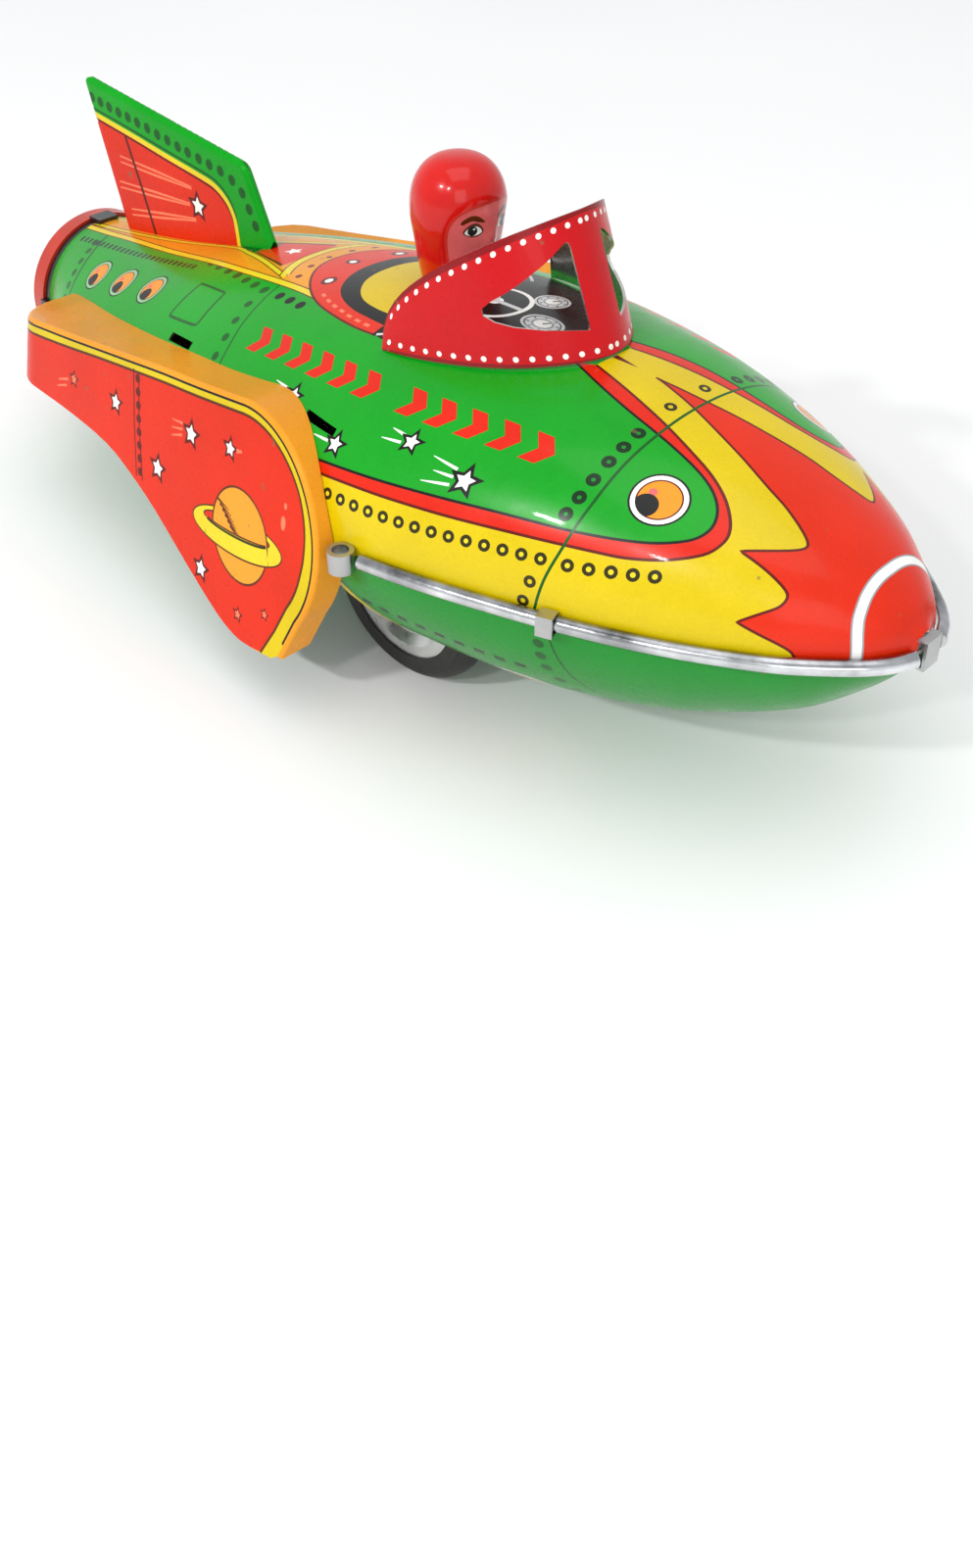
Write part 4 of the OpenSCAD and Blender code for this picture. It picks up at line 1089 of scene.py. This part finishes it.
def strip_solid(x0, x1, steps=110):
    k = np.linspace(0, 1, steps)
    x = x0 + (x1 - x0) * (1 - (1 - k) ** 1.4)
    d = (form(1, x + 0.05) - form(1, x - 0.05)) / 0.1
    length = np.sqrt(1 + d * d)
    n = np.stack([-d / length, -1 / length], 1)
    rows = np.array([[(xi + ni[0] * p[0], -wi + ni[1] * p[0], zi + p[1]) for p in STRIP]
                     for xi, ni, wi, zi in zip(x, n, form(1, x), seam(x))]).reshape(-1, 3)
    m = len(STRIP)
    slope = np.gradient(STRIP, axis=0)
    pn = np.stack([-slope[:, 1], slope[:, 0]], 1)
    pn /= -np.linalg.norm(pn, axis=1)[:, None]
    norms = np.array([(ni[0] * q[0], ni[1] * q[0], q[1]) for ni in n for q in pn])
    solid = Solid()
    # faces that point up get the darker plate: painted dark reflection along the strip's top half, while
    # the lower half stays bright chrome
    upward = pn[:-1, 1] + pn[1:, 1] > 1.0
    for slot, profile in ((0, np.flatnonzero(~upward)), (1, np.flatnonzero(upward))):
        faces = [(i * m + j, (i + 1) * m + j, (i + 1) * m + j + 1, i * m + j + 1)
                 for i in range(steps - 1) for j in profile.tolist()]
        solid.part(rows, faces, norms, "silver", slot)
    solid.part(rows[:m], [tuple(range(m))], None, "silver", 0)
    solid.part(rows[-m:], [tuple(range(m - 1, -1, -1))], None, "silver", 0)
    back = [(i * m, (i + 1) * m - 1, (i + 2) * m - 1, (i + 1) * m) for i in range(steps - 1)]
    solid.part(rows, back, None, "silver", 0)
    return solid


strips = strip_solid(26.9, 91.1)
strip_right = strips.make("belt_strip_right", [CHROME, DARK_REFLECTION_PLATE])
strip_left = strips.make("belt_strip_left", [CHROME, DARK_REFLECTION_PLATE], mirror=True)

# ---- rides and nodes
for piece, node, slot in (
        (upper_piece, "upper_shell", "upper_tin"), (lower_piece, "lower_shell", "lower_tin"),
        (pod_right, "pod_right", "pod_tin"), (pod_left, "pod_left", "pod_tin"),
        (fin_object, "tail_fin", "fin_tin"), (screen_piece, "windscreen", "screen_tin"),
        (head_piece, "driver_head", "helmet"), (strip_right, "trim_strip_right", "trim"),
        (strip_left, "trim_strip_left", "trim")):
    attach(piece, "chassis")
    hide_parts(node)

LOOKS = {"trim": CHROME, "clip": STEEL, "collar": BLACK_PAINT, "nozzle": RED_PAINT,
         "exhaust": ORANGE_PAINT, "steel": STEEL, "gear": BRASS, "iron": IRON, "hub": HUB,
         "tyre": RUBBER}
for part in frame["record"]["subparts"]:
    look = LOOKS.get(part["material_slot"])
    if look is not None:
        for slot in frame["nodes"][part["node"]].material_slots:
            slot.material = look

# ---- floor and light
def ground(name, size, material):
    mesh = bpy.data.meshes.new(name)
    s = size / 2
    mesh.from_pydata([(-s, -s, 0), (s, -s, 0), (s, s, 0), (-s, s, 0)], [], [(0, 1, 2, 3)])
    mesh.materials.append(material)
    return place(name, mesh)


f = Finish("studio_floor")
f.set(f.shader, "Base Color", f.mix(f.cloud(8, 3), (0.86, 0.86, 0.855), (0.88, 0.88, 0.875)))
f.fixed(Roughness=0.55)
ground("floor", 30, f.material)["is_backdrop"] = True


TARGET = Vector((0, 0, 0.03))


def softbox(name, direction, distance, size, power, size_y=None):
    """Area lamp in that direction from the target, facing it."""
    lamp = bpy.data.lights.new(name, "AREA")
    lamp.energy, lamp.size = power, size
    if size_y:
        lamp.shape, lamp.size_y = "RECTANGLE", size_y
    box = place(name, lamp)
    d = Vector(direction).normalized()
    box.location = TARGET + d * distance
    box.rotation_euler = d.to_track_quat("Z", "Y").to_euler()


softbox("key", (-0.05, -0.80, 0.60), 0.9, 0.07, 2.4, size_y=0.035)
softbox("key_front", (0.26, -0.76, 0.60), 0.9, 0.045, 1.1, size_y=0.035)
softbox("overhead", (0.15, -0.1, 1), 1.2, 0.9, 3.3)
softbox("side", (0.9, -0.7, 0.45), 1.1, 0.5, 1.2)
world = bpy.data.worlds.new("studio")
world.use_nodes = True
bpy.context.scene.world = world
sky = world.node_tree.nodes["Background"].inputs
sky["Color"].default_value, sky["Strength"].default_value = (0.97, 0.985, 1.0, 1), 0.83
bpy.context.scene.view_settings.view_transform = "Standard"

# ---- camera
PLACE = Vector((0.15883, -0.14137, 0.14646))
BACK = Vector((0.59095, -0.58591, 0.55451))
ROLL, FOCAL_PX = -0.226, 1566.8
FRAME_W, RISE_PX = 993, 250
cam = bpy.data.cameras.new("camera")
cam.sensor_fit = "HORIZONTAL"
cam.sensor_width = 36
cam.lens = FOCAL_PX / FRAME_W * cam.sensor_width
cam.shift_y = -RISE_PX / FRAME_W
cam.clip_start, cam.clip_end = 0.01, 50
view = place("camera", cam)
turn = BACK.to_track_quat("Z", "Y").to_matrix().to_4x4()
view.matrix_world = Matrix.Translation(PLACE) @ turn @ Matrix.Rotation(math.radians(ROLL), 4, "Z")
bpy.context.scene.camera = view

bpy.context.view_layer.update()
plain = lambda box: [list(map(float, corner)) for corner in box]
{"cad": plain(cad_box), "visual": plain(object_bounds())}
